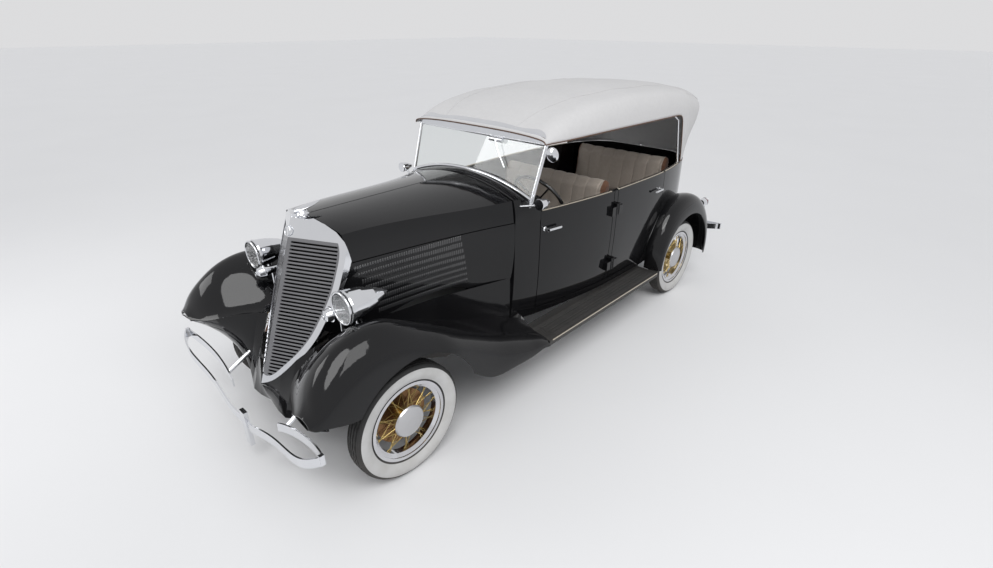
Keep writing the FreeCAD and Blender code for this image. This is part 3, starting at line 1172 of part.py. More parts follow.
def make_lamps():
    r, length = S.lamp_radius, S.lamp_length
    bullet = [(0, 0), (0, r - 3), (10, r), (24, r * 0.96), (length * 0.35, r * 0.86), (length * 0.62, r * 0.62),
              (length * 0.85, r * 0.3), (length, 0)]
    lamps, lenses = [], []
    seat = both_sides(fender_space(-S.seat_gap, 300))
    cowl = cowl_crown(-S.seat_gap)
    for side in (1, -1):
        x = side * S.lamp_x
        shell = turned_polygon(bullet, (x, S.lamp_y + S.lens_thickness + 4, S.lamp_z), (0, 1, 0))
        stalk = rod((x, S.lamp_y + 90, S.lamp_z - r * 0.7), (x, S.lamp_y + 90, S.lamp_foot_z), S.lamp_stalk_radius)
        lamps.append(shell.fuse(stalk.cut(seat)))
        lenses.append(turned_polygon([(0, 0), (0, r * 0.5), (4, r - 6), (S.lens_thickness + 4 - S.seat_gap, r - 6), (S.lens_thickness + 4 - S.seat_gap, 0)],
                                     (x, S.lamp_y, S.lamp_z), (0, 1, 0)))
        cx = side * S.cowl_lamp_x
        cr, cl = S.cowl_lamp_radius, S.cowl_lamp_length
        small = turned_polygon([(0, 0), (0, cr - 2), (6, cr), (cl * 0.5, cr * 0.8), (cl * 0.85, cr * 0.4), (cl, 0)],
                               (cx, S.cowl_lamp_y - 30, S.cowl_lamp_z), (0, 1, 0))
        arm = rod((cx, S.cowl_lamp_y, S.cowl_lamp_z - 10), (side * 540, S.cowl_lamp_y - 36, S.cowl_lamp_z - 46), 9)
        lamps.append(small.fuse(arm.cut(cowl)))
    for name, solids in (("lamp_shells", lamps), ("lamp_lenses", lenses)):
        group = Part.makeCompound(solids)
        group.translate(V(0, FRONT, 0))
        node(shape_object(name, group), name)


def turned_polygon(points, centre, direction):
    line = [V(a, 0, r) for a, r in points]
    solid = positive(Part.Face(Part.makePolygon(line + [line[0]])).revolve(V(), V(1, 0, 0), 360))
    solid.Placement = FreeCAD.Placement(V(*centre), FreeCAD.Rotation(V(1, 0, 0), V(*direction)))
    return solid


def make_horns():
    solids = []
    r = S.horn_radius
    seat = both_sides(fender_space(-S.seat_gap, 300))
    for side in (1, -1):
        x = side * S.horn_x
        dome = turned_polygon([(-r, 0), (-r * 0.7, r * 0.7), (0, r * 0.88), (0, r), (8, r), (8, r * 0.8), (60, r * 0.5), (S.horn_length, r * 0.3), (S.horn_length, 0)],
                              (x, S.horn_y, S.horn_z), (0, 1, 0))
        stalk = rod((x, S.horn_y + 60, S.horn_z - 10), (x, S.horn_y + 60, S.lamp_foot_z), 9)
        solids.append(dome.fuse(stalk.cut(seat)))
    group = Part.makeCompound(solids)
    group.translate(V(0, FRONT, 0))
    node(shape_object("horns", group), "horns")


def flat_bar(points, height, wall):
    """Upright flat bar along a row of points."""
    rows = []
    for i, (x, y, z) in enumerate(points):
        a, b = points[max(i - 1, 0)], points[min(i + 1, len(points) - 1)]
        dx, dy = b[0] - a[0], b[1] - a[1]
        run = math.hypot(dx, dy)
        nx, ny = -dy / run * wall / 2, dx / run * wall / 2
        h = height / 2
        quad = [V(x + nx, y + ny, z - h), V(x - nx, y - ny, z - h), V(x - nx, y - ny, z + h), V(x + nx, y + ny, z + h)]
        rows.append(Part.makePolygon(quad + [quad[0]]))
    return loft(rows)


def make_bumpers():
    h, w = S.bumper_bar_height, S.bumper_bar_wall
    ex, ez, mz = S.bumper_end_x, S.bumper_end_z, S.bumper_mid_z
    tip = S.front_overhang
    front = [(18, -tip + w / 2 + 25, mz), (250, -tip + w / 2 + 3, mz + (ez - mz) * 0.34), (560, -tip + w / 2 + 3, mz + (ez - mz) * 0.6),
             (760, -tip + 12, mz + (ez - mz) * 0.83), (ex, -585, ez)]
    back = [(ex - 4, -575, ez), (700, -540, mz + (ez - mz) * 0.8), (480, -530, mz + (ez - mz) * 0.62), (290, -548, mz + (ez - mz) * 0.4)]
    solids = []
    for side in (1, -1):
        parts = [flat_bar(front, h, w), flat_bar(back, h, w),
                 block(ex - 16, ex + 4, -592, -568, ez - h / 2 - 2, ez + h / 2 + 2),
                 bumper_arm(1, S.bumper_arm_radius),
                 block(S.rail_offset - 26, S.rail_offset + 26, -S.rail_nose_y - 10, -S.rail_nose_y - S.seat_gap, 488, 580)]
        half = parts[0].multiFuse(parts[1:])
        solids.append(half if side > 0 else mirrored(half))
    plate = block(-30, 30, -tip + 10, -tip + 34, mz - S.bumper_plate_height / 2 - 30, mz + S.bumper_plate_height / 2 - 30)
    bumper = solids[0].multiFuse([solids[1], plate])
    bumper.translate(V(0, FRONT, 0))
    node(shape_object("bumper_front", bumper), "bumper_front")
    end = S.wheelbase + S.rear_overhang
    solids = []
    outer = [(0, end - w / 2, 430), (400, end - w / 2 - 4, 436), (700, end - 22, 450), (830, end - 70, 470)]
    inner = [(828, end - 80, 470), (700, end - 110, 450), (330, end - 120, 436)]
    for side in (1, -1):
        parts = [flat_bar(outer, h, w), flat_bar(inner, h, w), block(812, 836, end - 90, end - 60, 470 - h / 2 - 2, 470 + h / 2 + 2),
                 rod((S.rail_offset, S.rail_tail_y + 9, 545), (S.rail_offset, end - 118, 440), S.bumper_arm_radius),
                 block(S.rail_offset - 26, S.rail_offset + 26, S.rail_tail_y + S.seat_gap, S.rail_tail_y + 10, 500, 600)]
        half = parts[0].multiFuse(parts[1:])
        solids.append(half if side > 0 else mirrored(half))
    bumper = solids[0].fuse(solids[1])
    bumper.translate(V(0, FRONT, 0))
    node(shape_object("bumper_rear", bumper), "bumper_rear")


def make_tail():
    """Fuel tank behind the body, tail lamps and the bare plate on the left."""
    r = S.tail_lamp_radius
    solids = []
    seat = both_sides(loft(rear_fender_sections(lambda line, to_space: skirt(line, -S.seat_gap, 300, to_space))))
    for side in (1, -1):
        lamp = turned_polygon([(0, 0), (10, r * 0.8), (30, r), (70, r), (74, r * 0.7), (80, 0)], (side * S.tail_lamp_x, 3800, S.tail_lamp_z), (0, 1, 0))
        arm = rod((side * S.tail_lamp_x, 3830, S.tail_lamp_z), (side * S.tail_lamp_x, 3760, S.tail_lamp_z - 150), 9)
        solids.append(lamp.fuse(arm.cut(seat)))
    plate = block(460, 460 + S.plate_width, 3896, 3900, 560, 560 + S.plate_height)
    stay = rod((S.tail_lamp_x - 60, 3896, 660), (S.tail_lamp_x - 60, 3740, 630), 7)
    solids.append(plate.fuse(stay.cut(seat)))
    group = Part.makeCompound(solids)
    group.translate(V(0, FRONT, 0))
    node(shape_object("tail_lamps", group), "tail_lamps")
    half = S.rail_offset - S.rail_width / 2 - S.seat_gap
    tank = block(-half, half, S.tank_front, S.tank_front + S.tank_length, S.tank_top - S.tank_height, S.tank_top)
    tank = tank.makeFillet(35, [e for e in tank.Edges if abs(e.tangentAt(e.FirstParameter).x) > 0.9])
    tank.translate(V(0, FRONT, 0))
    node(shape_object("fuel_tank", tank), "fuel_tank")


def build():
    make_wheels()
    make_front_axle()
    make_rear_axle()
    make_knuckles()
    make_frame()
    make_engine()
    make_body()
    make_hood()
    make_nose()
    make_front_fenders()
    make_rear_fenders(body_solid(-S.seat_gap, S.sill_bottom - 200, S.belt_height))
    make_running_boards()
    make_windshield()
    make_top()
    make_seats()
    make_dash()
    make_lamps()
    make_horns()
    make_bumpers()
    make_tail()


def check_and_write():
    doc.recompute()
    for obj in doc.Objects:
        if {"Invalid", "Error"} & set(obj.State):
            raise RuntimeError("failed object: " + obj.Label)
    for obj in NODES:
        shape = obj.Shape
        if shape.isNull() or not shape.isValid():
            raise RuntimeError("bad shape: " + obj.Label)
        shape.exportStep("parts/%s.step" % obj.Label)
        print(obj.Label, len(shape.Solids), round(shape.Volume / 1e6, 3), shape.BoundBox)


build()
check_and_write()
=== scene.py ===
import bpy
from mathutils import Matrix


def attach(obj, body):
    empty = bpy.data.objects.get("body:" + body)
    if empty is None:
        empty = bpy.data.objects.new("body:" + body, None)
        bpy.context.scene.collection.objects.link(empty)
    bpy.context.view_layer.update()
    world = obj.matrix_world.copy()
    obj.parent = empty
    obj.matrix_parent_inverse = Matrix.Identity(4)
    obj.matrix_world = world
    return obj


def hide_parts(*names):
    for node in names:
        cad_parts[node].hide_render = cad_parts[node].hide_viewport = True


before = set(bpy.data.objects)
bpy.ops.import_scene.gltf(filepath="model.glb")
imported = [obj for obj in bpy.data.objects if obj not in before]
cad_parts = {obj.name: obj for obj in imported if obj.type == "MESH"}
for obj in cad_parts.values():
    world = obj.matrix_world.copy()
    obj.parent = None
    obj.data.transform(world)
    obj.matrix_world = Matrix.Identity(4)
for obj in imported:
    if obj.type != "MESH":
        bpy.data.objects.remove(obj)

"""Open four-door touring car with its canvas top raised: finishes, soft goods and trim over the fixed
frame."""

import logging
import math
from dataclasses import dataclass
from enum import Enum
from typing import Sequence

import bmesh
import bpy
import numpy as np
from mathutils import Matrix, Vector
from mathutils.bvhtree import BVHTree

log = logging.getLogger("touring_car")
Array = np.ndarray
FRONT_AXLE_Y = -1.770
REAR_AXLE_Y = 1.480
AXLE_Z = 0.360
CHASSIS = "chassis"


# Meshes from arrays

@dataclass
class Surface:
    """A mesh as arrays: points (n, 3) and quads (m, 4); a triangle repeats its last corner."""

    points: Array
    quads: Array


def joined(surfaces: Sequence[Surface]) -> Surface:
    """Put several surfaces into one.

    Args:
        surfaces: the surfaces, in order.

    Returns:
        One surface with every point and quad.
    """
    starts = np.cumsum([0] + [len(s.points) for s in surfaces[:-1]])
    return Surface(np.concatenate([s.points for s in surfaces]),
                   np.concatenate([s.quads + n for s, n in zip(surfaces, starts)]))


def grid(points: Array, close_u: bool = False, close_v: bool = False, cap_u: bool = False) -> Surface:
    """Quads over a (u, v, 3) array of points.

    Args:
        points: the grid of points, counter-clockwise seen from outside.
        close_u: the last row joins the first.
        close_v: the last column joins the first.
        cap_u: the first and last rows are closed by a fan about their middles.

    Returns:
        The surface.
    """
    nu, nv = points.shape[:2]
    rows = np.arange(nu if close_u else nu - 1)
    columns = np.arange(nv if close_v else nv - 1)
    u, v = np.meshgrid(rows, columns, indexing="ij")
    u, v = u.ravel(), v.ravel()
    a, b = (u + 1) % nu, (v + 1) % nv
    quads = np.stack([u * nv + v, a * nv + v, a * nv + b, u * nv + b], 1)
    flat = points.reshape(-1, 3)
    if cap_u:
        middles = np.stack([points[0].mean(0), points[-1].mean(0)])
        n = len(flat)
        after = (columns + 1) % nv
        first = np.stack([np.full_like(columns, n), columns, after, after], 1)
        end = (nu - 1) * nv
        last = np.stack([np.full_like(columns, n + 1), end + after, end + columns, end + columns], 1)
        flat = np.concatenate([flat, middles])
        quads = np.concatenate([quads, first, last])
    return Surface(flat, quads)


def frames_along(path: Array, up: Sequence[float] = (0.0, 0.0, 1.0),
                 ring: bool = False) -> tuple[Array, Array, Array]:
    """Tangent, side and rise at each point of a path, the side square to the tangent and to up.

    Args:
        path: points (n, 3).
        up: direction that the rise leans to.
        ring: the path's end joins its start.

    Returns:
        Three arrays (n, 3) of unit vectors.
    """
    ahead = np.roll(path, -1, 0) - np.roll(path, 1, 0)
    if not ring:
        ahead[0], ahead[-1] = path[1] - path[0], path[-1] - path[-2]
    tangent = ahead / np.linalg.norm(ahead, axis=1, keepdims=True)
    side = np.cross(tangent, np.asarray(up, float))
    side /= np.maximum(np.linalg.norm(side, axis=1, keepdims=True), 1e-9)
    return tangent, side, np.cross(side, tangent)


def sweep(path: Array, profile: Array, up: Sequence[float] = (0.0, 0.0, 1.0), ring: bool = False) -> Surface:
    """Carry a closed profile along a path: point = path + side * profile x + rise * profile y.

    Args:
        path: points (n, 3).
        profile: closed outline (m, 2), counter-clockwise.
        up: direction that the profile's second axis leans to.
        ring: the path closes on itself.

    Returns:
        The swept surface, capped where the path is open.
    """
    path = np.asarray(path, float)
    _, side, rise = frames_along(path, up, ring)
    points = path[:, None] + side[:, None] * profile[None, :, :1] + rise[:, None] * profile[None, :, 1:]
    return grid(points[:, ::-1], close_u=ring, close_v=True, cap_u=not ring)


def circle(radius: float, count: int = 12) -> Array:
    """Points of a circle: radius times (cos, sin) of evenly spaced angles."""
    angle = np.linspace(0, 2 * math.pi, count, endpoint=False)
    return radius * np.stack([np.cos(angle), np.sin(angle)], 1)


def turned(profile: Sequence[Sequence[float]], centre: Sequence[float], axis: Sequence[float],
           count: int = 48) -> Surface:
    """Turn a profile of (along, radius) pairs about an axis: point = centre + axis * along + ring * radius.

    Args:
        profile: pairs from one end to the other.
        centre: where along is zero.
        axis: direction of along.
        count: segments round the axis.

    Returns:
        The surface, closed at its ends.
    """
    pairs = np.asarray(profile, float)
    tangent = np.asarray(axis, float) / np.linalg.norm(axis)
    helper = np.array([0.0, 0.0, 1.0]) if abs(tangent[2]) < 0.9 else np.array([1.0, 0.0, 0.0])
    side = np.cross(tangent, helper)
    side /= np.linalg.norm(side)
    rise = np.cross(side, tangent)
    ring = circle(1.0, count)
    around = ring[:, :1] * side + ring[:, 1:] * rise
    along, radius = pairs[:, 0, None, None], pairs[:, 1, None, None]
    points = np.asarray(centre, float) + along * tangent + radius * around[None]
    return grid(points, close_v=True, cap_u=True)


def make_object(name: str, surface: Surface, material: bpy.types.Material,
                smooth_angle: float = 40.0) -> bpy.types.Object:
    """Put a surface into the scene as a mesh object at the origin.

    Args:
        name: the piece's name.
        surface: its points and quads.
        material: its finish.
        smooth_angle: edges sharper than this many degrees stay sharp.

    Returns:
        The object.
    """
    quads = surface.quads
    faces = [tuple(q[:3]) if q[2] == q[3] else tuple(q) for q in quads.tolist()]
    mesh = bpy.data.meshes.new(name)
    mesh.from_pydata(surface.points.tolist(), [], faces)
    mesh.materials.append(material)
    mesh.update()
    mesh.polygons.foreach_set("use_smooth", np.ones(len(mesh.polygons), bool))
    mesh.set_sharp_from_angle(angle=math.radians(smooth_angle))
    piece = bpy.data.objects.new(name, mesh)
    bpy.context.scene.collection.objects.link(piece)
    return piece


# Shared shader effects

def new_group(name: str, inputs: dict[str, tuple[str, float]], outputs: dict[str, str]) -> tuple:
    """Make a shader node group with named sockets.

    Args:
        name: the group's name.
        inputs: socket name to (socket type, default).
        outputs: socket name to socket type.

    Returns:
        The group, its input node and its output node.
    """
    group = bpy.data.node_groups.new(name, "ShaderNodeTree")
    for label, (kind, default) in inputs.items():
        socket = group.interface.new_socket(label, in_out="INPUT", socket_type=kind)
        if kind == "NodeSocketFloat":
            socket.default_value = default
    for label, kind in outputs.items():
        group.interface.new_socket(label, in_out="OUTPUT", socket_type=kind)
    return group, group.nodes.new("NodeGroupInput"), group.nodes.new("NodeGroupOutput")


class Graph:
    """A short way to add and join the nodes of one tree."""

    def __init__(self, tree: bpy.types.NodeTree) -> None:
        """Keep the tree."""
        self.tree = tree

    def node(self, kind: str, settings: dict | None = None, **values: object) -> bpy.types.Node:
        """Add a node.

        Args:
            kind: the node's type name without ShaderNode.
            settings: attributes of the node.
            values: input name (spaces as underscores) to a number, colour or output socket.

        Returns:
            The node.
        """
        made = self.tree.nodes.new("ShaderNode" + kind)
        for key, value in (settings or {}).items():
            setattr(made, key, value)
        for key, value in values.items():
            self.put(made.inputs[key.replace("_", " ")], value)
        return made

    def put(self, socket: bpy.types.NodeSocket, value: object) -> None:
        """Set a socket to a value, or link an output to it."""
        if isinstance(value, bpy.types.NodeSocket):
            self.tree.links.new(value, socket)
        else:
            socket.default_value = value

    def math(self, operation: str, a: object, b: object = 0.0, c: object = 0.0,
             clamp: bool = False) -> bpy.types.NodeSocket:
        """Result of a math node on two or three values."""
        made = self.node("Math", {"operation": operation, "use_clamp": clamp})
        for socket, value in zip(made.inputs, (a, b, c)):
            self.put(socket, value)
        return made.outputs[0]

    def mix(self, share: object, a: object, b: object) -> bpy.types.NodeSocket:
        """Colour between two colours by a share."""
        made = self.node("Mix", {"data_type": "RGBA"})
        self.put(made.inputs["Factor"], share)
        self.put(made.inputs[6], a)
        self.put(made.inputs[7], b)
        return made.outputs[2]

    def between(self, value: object, low: float, high: float, to_low: float = 0.0,
                to_high: float = 1.0) -> bpy.types.NodeSocket:
        """Value mapped smoothly from one range to another and held at its ends."""
        made = self.node("MapRange", {"interpolation_type": "SMOOTHSTEP"})
        for socket, item in zip(made.inputs, (value, low, high, to_low, to_high)):
            self.put(socket, item)
        return made.outputs[0]


def fine_grain_group() -> bpy.types.NodeTree:
    """Two scales of noise: broad variation and fine grain, each from 0 to 1."""
    inputs = {"Vector": ("NodeSocketVector", 0), "Broad Scale": ("NodeSocketFloat", 4.0),
              "Fine Scale": ("NodeSocketFloat", 90.0)}
    group, inp, out = new_group("fine_grain", inputs, {"Broad": "NodeSocketFloat", "Fine": "NodeSocketFloat"})
    g = Graph(group)
    broad = g.node("TexNoise", Vector=inp.outputs["Vector"], Scale=inp.outputs["Broad Scale"], Detail=3.0)
    fine = g.node("TexNoise", Vector=inp.outputs["Vector"], Scale=inp.outputs["Fine Scale"], Detail=4.0)
    group.links.new(broad.outputs["Fac"], out.inputs["Broad"])
    group.links.new(fine.outputs["Fac"], out.inputs["Fine"])
    return group


def cloth_weave_group() -> bpy.types.NodeTree:
    """Plain weave: two crossed sets of threads, their height and the shade between them."""
    inputs = {"Vector": ("NodeSocketVector", 0), "Threads": ("NodeSocketFloat", 900.0)}
    outputs = {"Height": "NodeSocketFloat", "Shade": "NodeSocketFloat"}
    group, inp, out = new_group("cloth_weave", inputs, outputs)
    g = Graph(group)
    split = g.node("SeparateXYZ", Vector=inp.outputs["Vector"])
    around = g.math("ADD", split.outputs["X"], g.math("MULTIPLY", split.outputs["Z"], 0.7))
    across = g.math("SINE", g.math("MULTIPLY", around, inp.outputs["Threads"]))
    lengthways = g.math("ADD", split.outputs["Y"], g.math("MULTIPLY", split.outputs["Z"], 0.3))
    along = g.math("SINE", g.math("MULTIPLY", lengthways, inp.outputs["Threads"]))
    height = g.math("MULTIPLY", across, along)
    noise = g.node("TexNoise", Vector=inp.outputs["Vector"], Scale=35.0, Detail=5.0)
    blotches = g.between(noise.outputs["Fac"], 0.2, 0.8, 0.35, 0.75)
    shade = g.math("MULTIPLY_ADD", height, 0.12, blotches, clamp=True)
    group.links.new(height, out.inputs["Height"])
    group.links.new(shade, out.inputs["Shade"])
    return group


def dust_group() -> bpy.types.NodeTree:
    """Light dust that gathers low on the car."""
    inputs = {"Vector": ("NodeSocketVector", 0), "Amount": ("NodeSocketFloat", 0.2)}
    group, inp, out = new_group("settled_dust", inputs, {"Mask": "NodeSocketFloat"})
    g = Graph(group)
    split = g.node("SeparateXYZ", Vector=inp.outputs["Vector"])
    low = g.between(split.outputs["Z"], 0.05, 0.6, 1.0, 0.0)
    noise = g.node("TexNoise", Vector=inp.outputs["Vector"], Scale=9.0, Detail=5.0)
    patchy = g.math("MULTIPLY", low, noise.outputs["Fac"])
    mask = g.math("MULTIPLY", patchy, inp.outputs["Amount"], clamp=True)
    group.links.new(mask, out.inputs["Mask"])
    return group


class Effects:
    """The shared effects, each built once."""

    def __init__(self) -> None:
        """Build every group."""
        self.grain = fine_grain_group()
        self.weave = cloth_weave_group()
        self.dust = dust_group()

    def place(self, graph: Graph, group: bpy.types.NodeTree, **values: object) -> bpy.types.Node:
        """Put a group into a material and set its sockets."""
        made = graph.tree.nodes.new("ShaderNodeGroup")
        made.node_tree = group
        for key, value in values.items():
            graph.put(made.inputs[key.replace("_", " ")], value)
        return made


# Finishes

def rgb(red: float, green: float, blue: float) -> tuple[float, float, float, float]:
    """A colour with full alpha."""
    return (red, green, blue, 1.0)


ROAD_DUST = rgb(0.23, 0.20, 0.17)
WALL_DIRT = rgb(0.36, 0.35, 0.33)


@dataclass(frozen=True)
class Finish:
    """A finish with one main colour, a little variation and fine bump."""

    name: str
    colour: tuple
    second: tuple
    roughness: float
    metallic: float = 0.0
    coat: float = 0.0
    coat_roughness: float = 0.03
    bump: float = 0.02
    bump_scale: float = 300.0
    broad_scale: float = 5.0
    dust: float = 0.0
    sheen: float = 0.0
    specular: float = 0.5

    def build(self, effects: Effects) -> bpy.types.Material:
        """Make the material.

        Args:
            effects: the shared groups.

        Returns:
            The material.
        """
        material, g, shader, place = self.begin()
        grain = self.grain(effects, g, place)
        colour = g.mix(grain.outputs["Broad"], self.colour, self.second)
        self.close(effects, g, shader, place, grain, colour)
        return material

    def grain(self, effects: Effects, g: Graph, place: bpy.types.NodeSocket) -> bpy.types.Node:
        """The grain group at this finish's two scales."""
        return effects.place(g, effects.grain, Vector=place, Broad_Scale=self.broad_scale,
                             Fine_Scale=self.bump_scale)

    def begin(self) -> tuple:
        """Start a material with its shader and object coordinates."""
        material = bpy.data.materials.new(self.name)
        material.use_nodes = True
        g = Graph(material.node_tree)
        shader = material.node_tree.nodes["Principled BSDF"]
        shader.inputs["Metallic"].default_value = self.metallic
        shader.inputs["Coat Weight"].default_value = self.coat
        shader.inputs["Coat Roughness"].default_value = self.coat_roughness
        shader.inputs["Sheen Weight"].default_value = self.sheen
        shader.inputs["Specular IOR Level"].default_value = self.specular
        place = g.node("TexCoord").outputs["Object"]
        return material, g, shader, place

    def close(self, effects: Effects, g: Graph, shader: bpy.types.Node, place: bpy.types.NodeSocket,
              grain: bpy.types.Node, colour: bpy.types.NodeSocket) -> None:
        """Join colour, roughness, dust and bump to the shader."""
        smoothest, roughest = self.roughness * 0.8, min(1.0, self.roughness * 1.25)
        rough = g.between(grain.outputs["Fine"], 0.2, 0.8, smoothest, roughest)
        if self.dust:
            dust = effects.place(g, effects.dust, Vector=place, Amount=self.dust)
            colour = g.mix(dust.outputs["Mask"], colour, ROAD_DUST)
            rough = g.math("ADD", rough, g.math("MULTIPLY", dust.outputs["Mask"], 0.4), clamp=True)
        g.put(shader.inputs["Base Color"], colour)
        g.put(shader.inputs["Roughness"], rough)
        bump = g.node("Bump", Strength=self.bump, Distance=0.001, Height=grain.outputs["Fine"])
        g.put(shader.inputs["Normal"], bump.outputs["Normal"])


@dataclass(frozen=True)
class WheelFinish(Finish):
    """A finish that changes with the distance from an axle."""

    axle_y: float = 0.0
    soft_edge: float = 0.001

    def radius(self, g: Graph, split: bpy.types.Node) -> bpy.types.NodeSocket:
        """The distance from the axle's line."""
        dy = g.math("SUBTRACT", split.outputs["Y"], self.axle_y)
        dz = g.math("SUBTRACT", split.outputs["Z"], AXLE_Z)
        return g.math("SQRT", g.math("ADD", g.math("MULTIPLY", dy, dy), g.math("MULTIPLY", dz, dz)))

    def within(self, g: Graph, radius: bpy.types.NodeSocket, limit: float) -> bpy.types.NodeSocket:
        """1 inside a radius and 0 outside it."""
        return g.between(radius, limit - self.soft_edge, limit + self.soft_edge, 1.0, 0.0)

    def beyond(self, g: Graph, radius: bpy.types.NodeSocket, limit: float) -> bpy.types.NodeSocket:
        """0 inside a radius and 1 outside it."""
        return g.between(radius, limit - self.soft_edge, limit + self.soft_edge)


@dataclass(frozen=True)
class TyreFinish(WheelFinish):
    """Black rubber with a wide whitewall on the outer side."""

    white_inner: float = 0.262
    white_outer: float = 0.337
    white_from_x: float = 0.725
    white_full_x: float = 0.730
    wall: tuple = rgb(0.52, 0.52, 0.515)

    def build(self, effects: Effects) -> bpy.types.Material:
        """Make the material of a tyre about its own axle.

        Args:
            effects: the shared groups.

        Returns:
            The material.
        """
        material, g, shader, place = self.begin()
        split = g.node("SeparateXYZ", Vector=place)
        radius = self.radius(g, split)
        outside = g.between(g.math("ABSOLUTE", split.outputs["X"]), self.white_from_x, self.white_full_x)
        beyond = self.beyond(g, radius, self.white_inner)
        ring = g.math("MULTIPLY", beyond, self.within(g, radius, self.white_outer))
        grain = effects.place(g, effects.grain, Vector=place, Broad_Scale=11.0, Fine_Scale=self.bump_scale)
        soiled = g.between(grain.outputs["Broad"], 0.35, 0.75, 0.0, 0.35)
        white = g.mix(soiled, self.wall, WALL_DIRT)
        black = g.mix(grain.outputs["Broad"], self.colour, self.second)
        self.close(effects, g, shader, place, grain, g.mix(g.math("MULTIPLY", ring, outside), black, white))
        return material


@dataclass(frozen=True)
class RimFinish(WheelFinish):
    """Bright rim with a satin hub cap."""

    cap_radius: float = 0.125
    cap: tuple = rgb(0.56, 0.56, 0.57)

    def build(self, effects: Effects) -> bpy.types.Material:
        """Make the material of a rim about its own axle.

        Args:
            effects: the shared groups.

        Returns:
            The material.
        """
        material, g, shader, place = self.begin()
        split = g.node("SeparateXYZ", Vector=place)
        inner = self.within(g, self.radius(g, split), self.cap_radius)
        grain = effects.place(g, effects.grain, Vector=place, Broad_Scale=18.0, Fine_Scale=self.bump_scale)
        bright = g.mix(grain.outputs["Broad"], self.colour, self.second)
        self.close(effects, g, shader, place, grain, g.mix(inner, bright, self.cap))
        g.put(shader.inputs["Roughness"], g.between(inner, 0.0, 1.0, self.roughness, self.roughness * 3.0))
        return material


@dataclass(frozen=True)
class HubFinish(Finish):
    """Olive-gold wire spokes and hub, with the brown drum behind them."""

    drum: tuple = rgb(0.20, 0.085, 0.045)
    drum_x: float = 0.676
    spokes_x: float = 0.679

    def build(self, effects: Effects) -> bpy.types.Material:
        """Make the material, the drum told from the spokes by its distance from the centre plane.

        Args:
            effects: the shared groups.

        Returns:
            The material.
        """
        material, g, shader, place = self.begin()
        split = g.node("SeparateXYZ", Vector=place)
        inner = g.between(g.math("ABSOLUTE", split.outputs["X"]), self.drum_x, self.spokes_x, 1.0, 0.0)
        grain = effects.place(g, effects.grain, Vector=place, Broad_Scale=12.0, Fine_Scale=self.bump_scale)
        gold = g.mix(grain.outputs["Broad"], self.colour, self.second)
        self.close(effects, g, shader, place, grain, g.mix(inner, gold, self.drum))
        return material


@dataclass(frozen=True)
class ClothFinish(Finish):
    """Woven cloth: thread height as bump, shade between threads, broad wear."""

    threads: float = 900.0
    weave_bump: float = 0.25
    ends_from: float = 0.0
    ends_blur: float = 0.001
    ends: tuple = rgb(0.13, 0.06, 0.032)

    def build(self, effects: Effects) -> bpy.types.Material:
        """Make the material.

        Args:
            effects: the shared groups.

        Returns:
            The material.
        """
        material, g, shader, place = self.begin()
        weave = effects.place(g, effects.weave, Vector=place, Threads=self.threads)
        grain = self.grain(effects, g, place)
        broad = g.math("MULTIPLY", grain.outputs["Broad"], 0.4)
        share = g.math("MULTIPLY_ADD", weave.outputs["Shade"], 0.6, broad)
        colour = g.mix(share, self.colour, self.second)
        height = g.math("MULTIPLY_ADD", weave.outputs["Height"], 0.5, grain.outputs["Fine"])
        if self.ends_from:
            split = g.node("SeparateXYZ", Vector=place)
            across = g.math("ABSOLUTE", split.outputs["X"])
            end = g.between(across, self.ends_from - self.ends_blur, self.ends_from + self.ends_blur)
            colour = g.mix(end, colour, self.ends)
        self.close(effects, g, shader, place, grain, colour)
        bump = g.node("Bump", Strength=self.weave_bump, Distance=0.0008, Height=height)
        g.put(shader.inputs["Normal"], bump.outputs["Normal"])
        return material


@dataclass(frozen=True)
class GlassFinish(Finish):
    """Clear glass with a faint tint and slightly uneven roughness."""

    flutes: float = 0.0

    def build(self, effects: Effects) -> bpy.types.Material:
        """Make the glass, with upright flutes pressed in where asked.

        Args:
            effects: the shared groups.

        Returns:
            The material.
        """
        material, g, shader, place = self.begin()
        shader.inputs["Transmission Weight"].default_value = 1.0
        shader.inputs["IOR"].default_value = 1.45
        grain = effects.place(g, effects.grain, Vector=place, Broad_Scale=6.0, Fine_Scale=60.0)
        g.put(shader.inputs["Base Color"], g.mix(grain.outputs["Broad"], self.colour, self.second))
        rough = g.between(grain.outputs["Fine"], 0.3, 0.7, self.roughness, self.roughness * 1.5)
        g.put(shader.inputs["Roughness"], rough)
        if self.flutes:
            split = g.node("SeparateXYZ", Vector=place)
            wave = g.math("SINE", g.math("MULTIPLY", split.outputs["X"], self.flutes))
            bump = g.node("Bump", Strength=0.6, Distance=0.002, Height=wave)
            g.put(shader.inputs["Normal"], bump.outputs["Normal"])
        return material


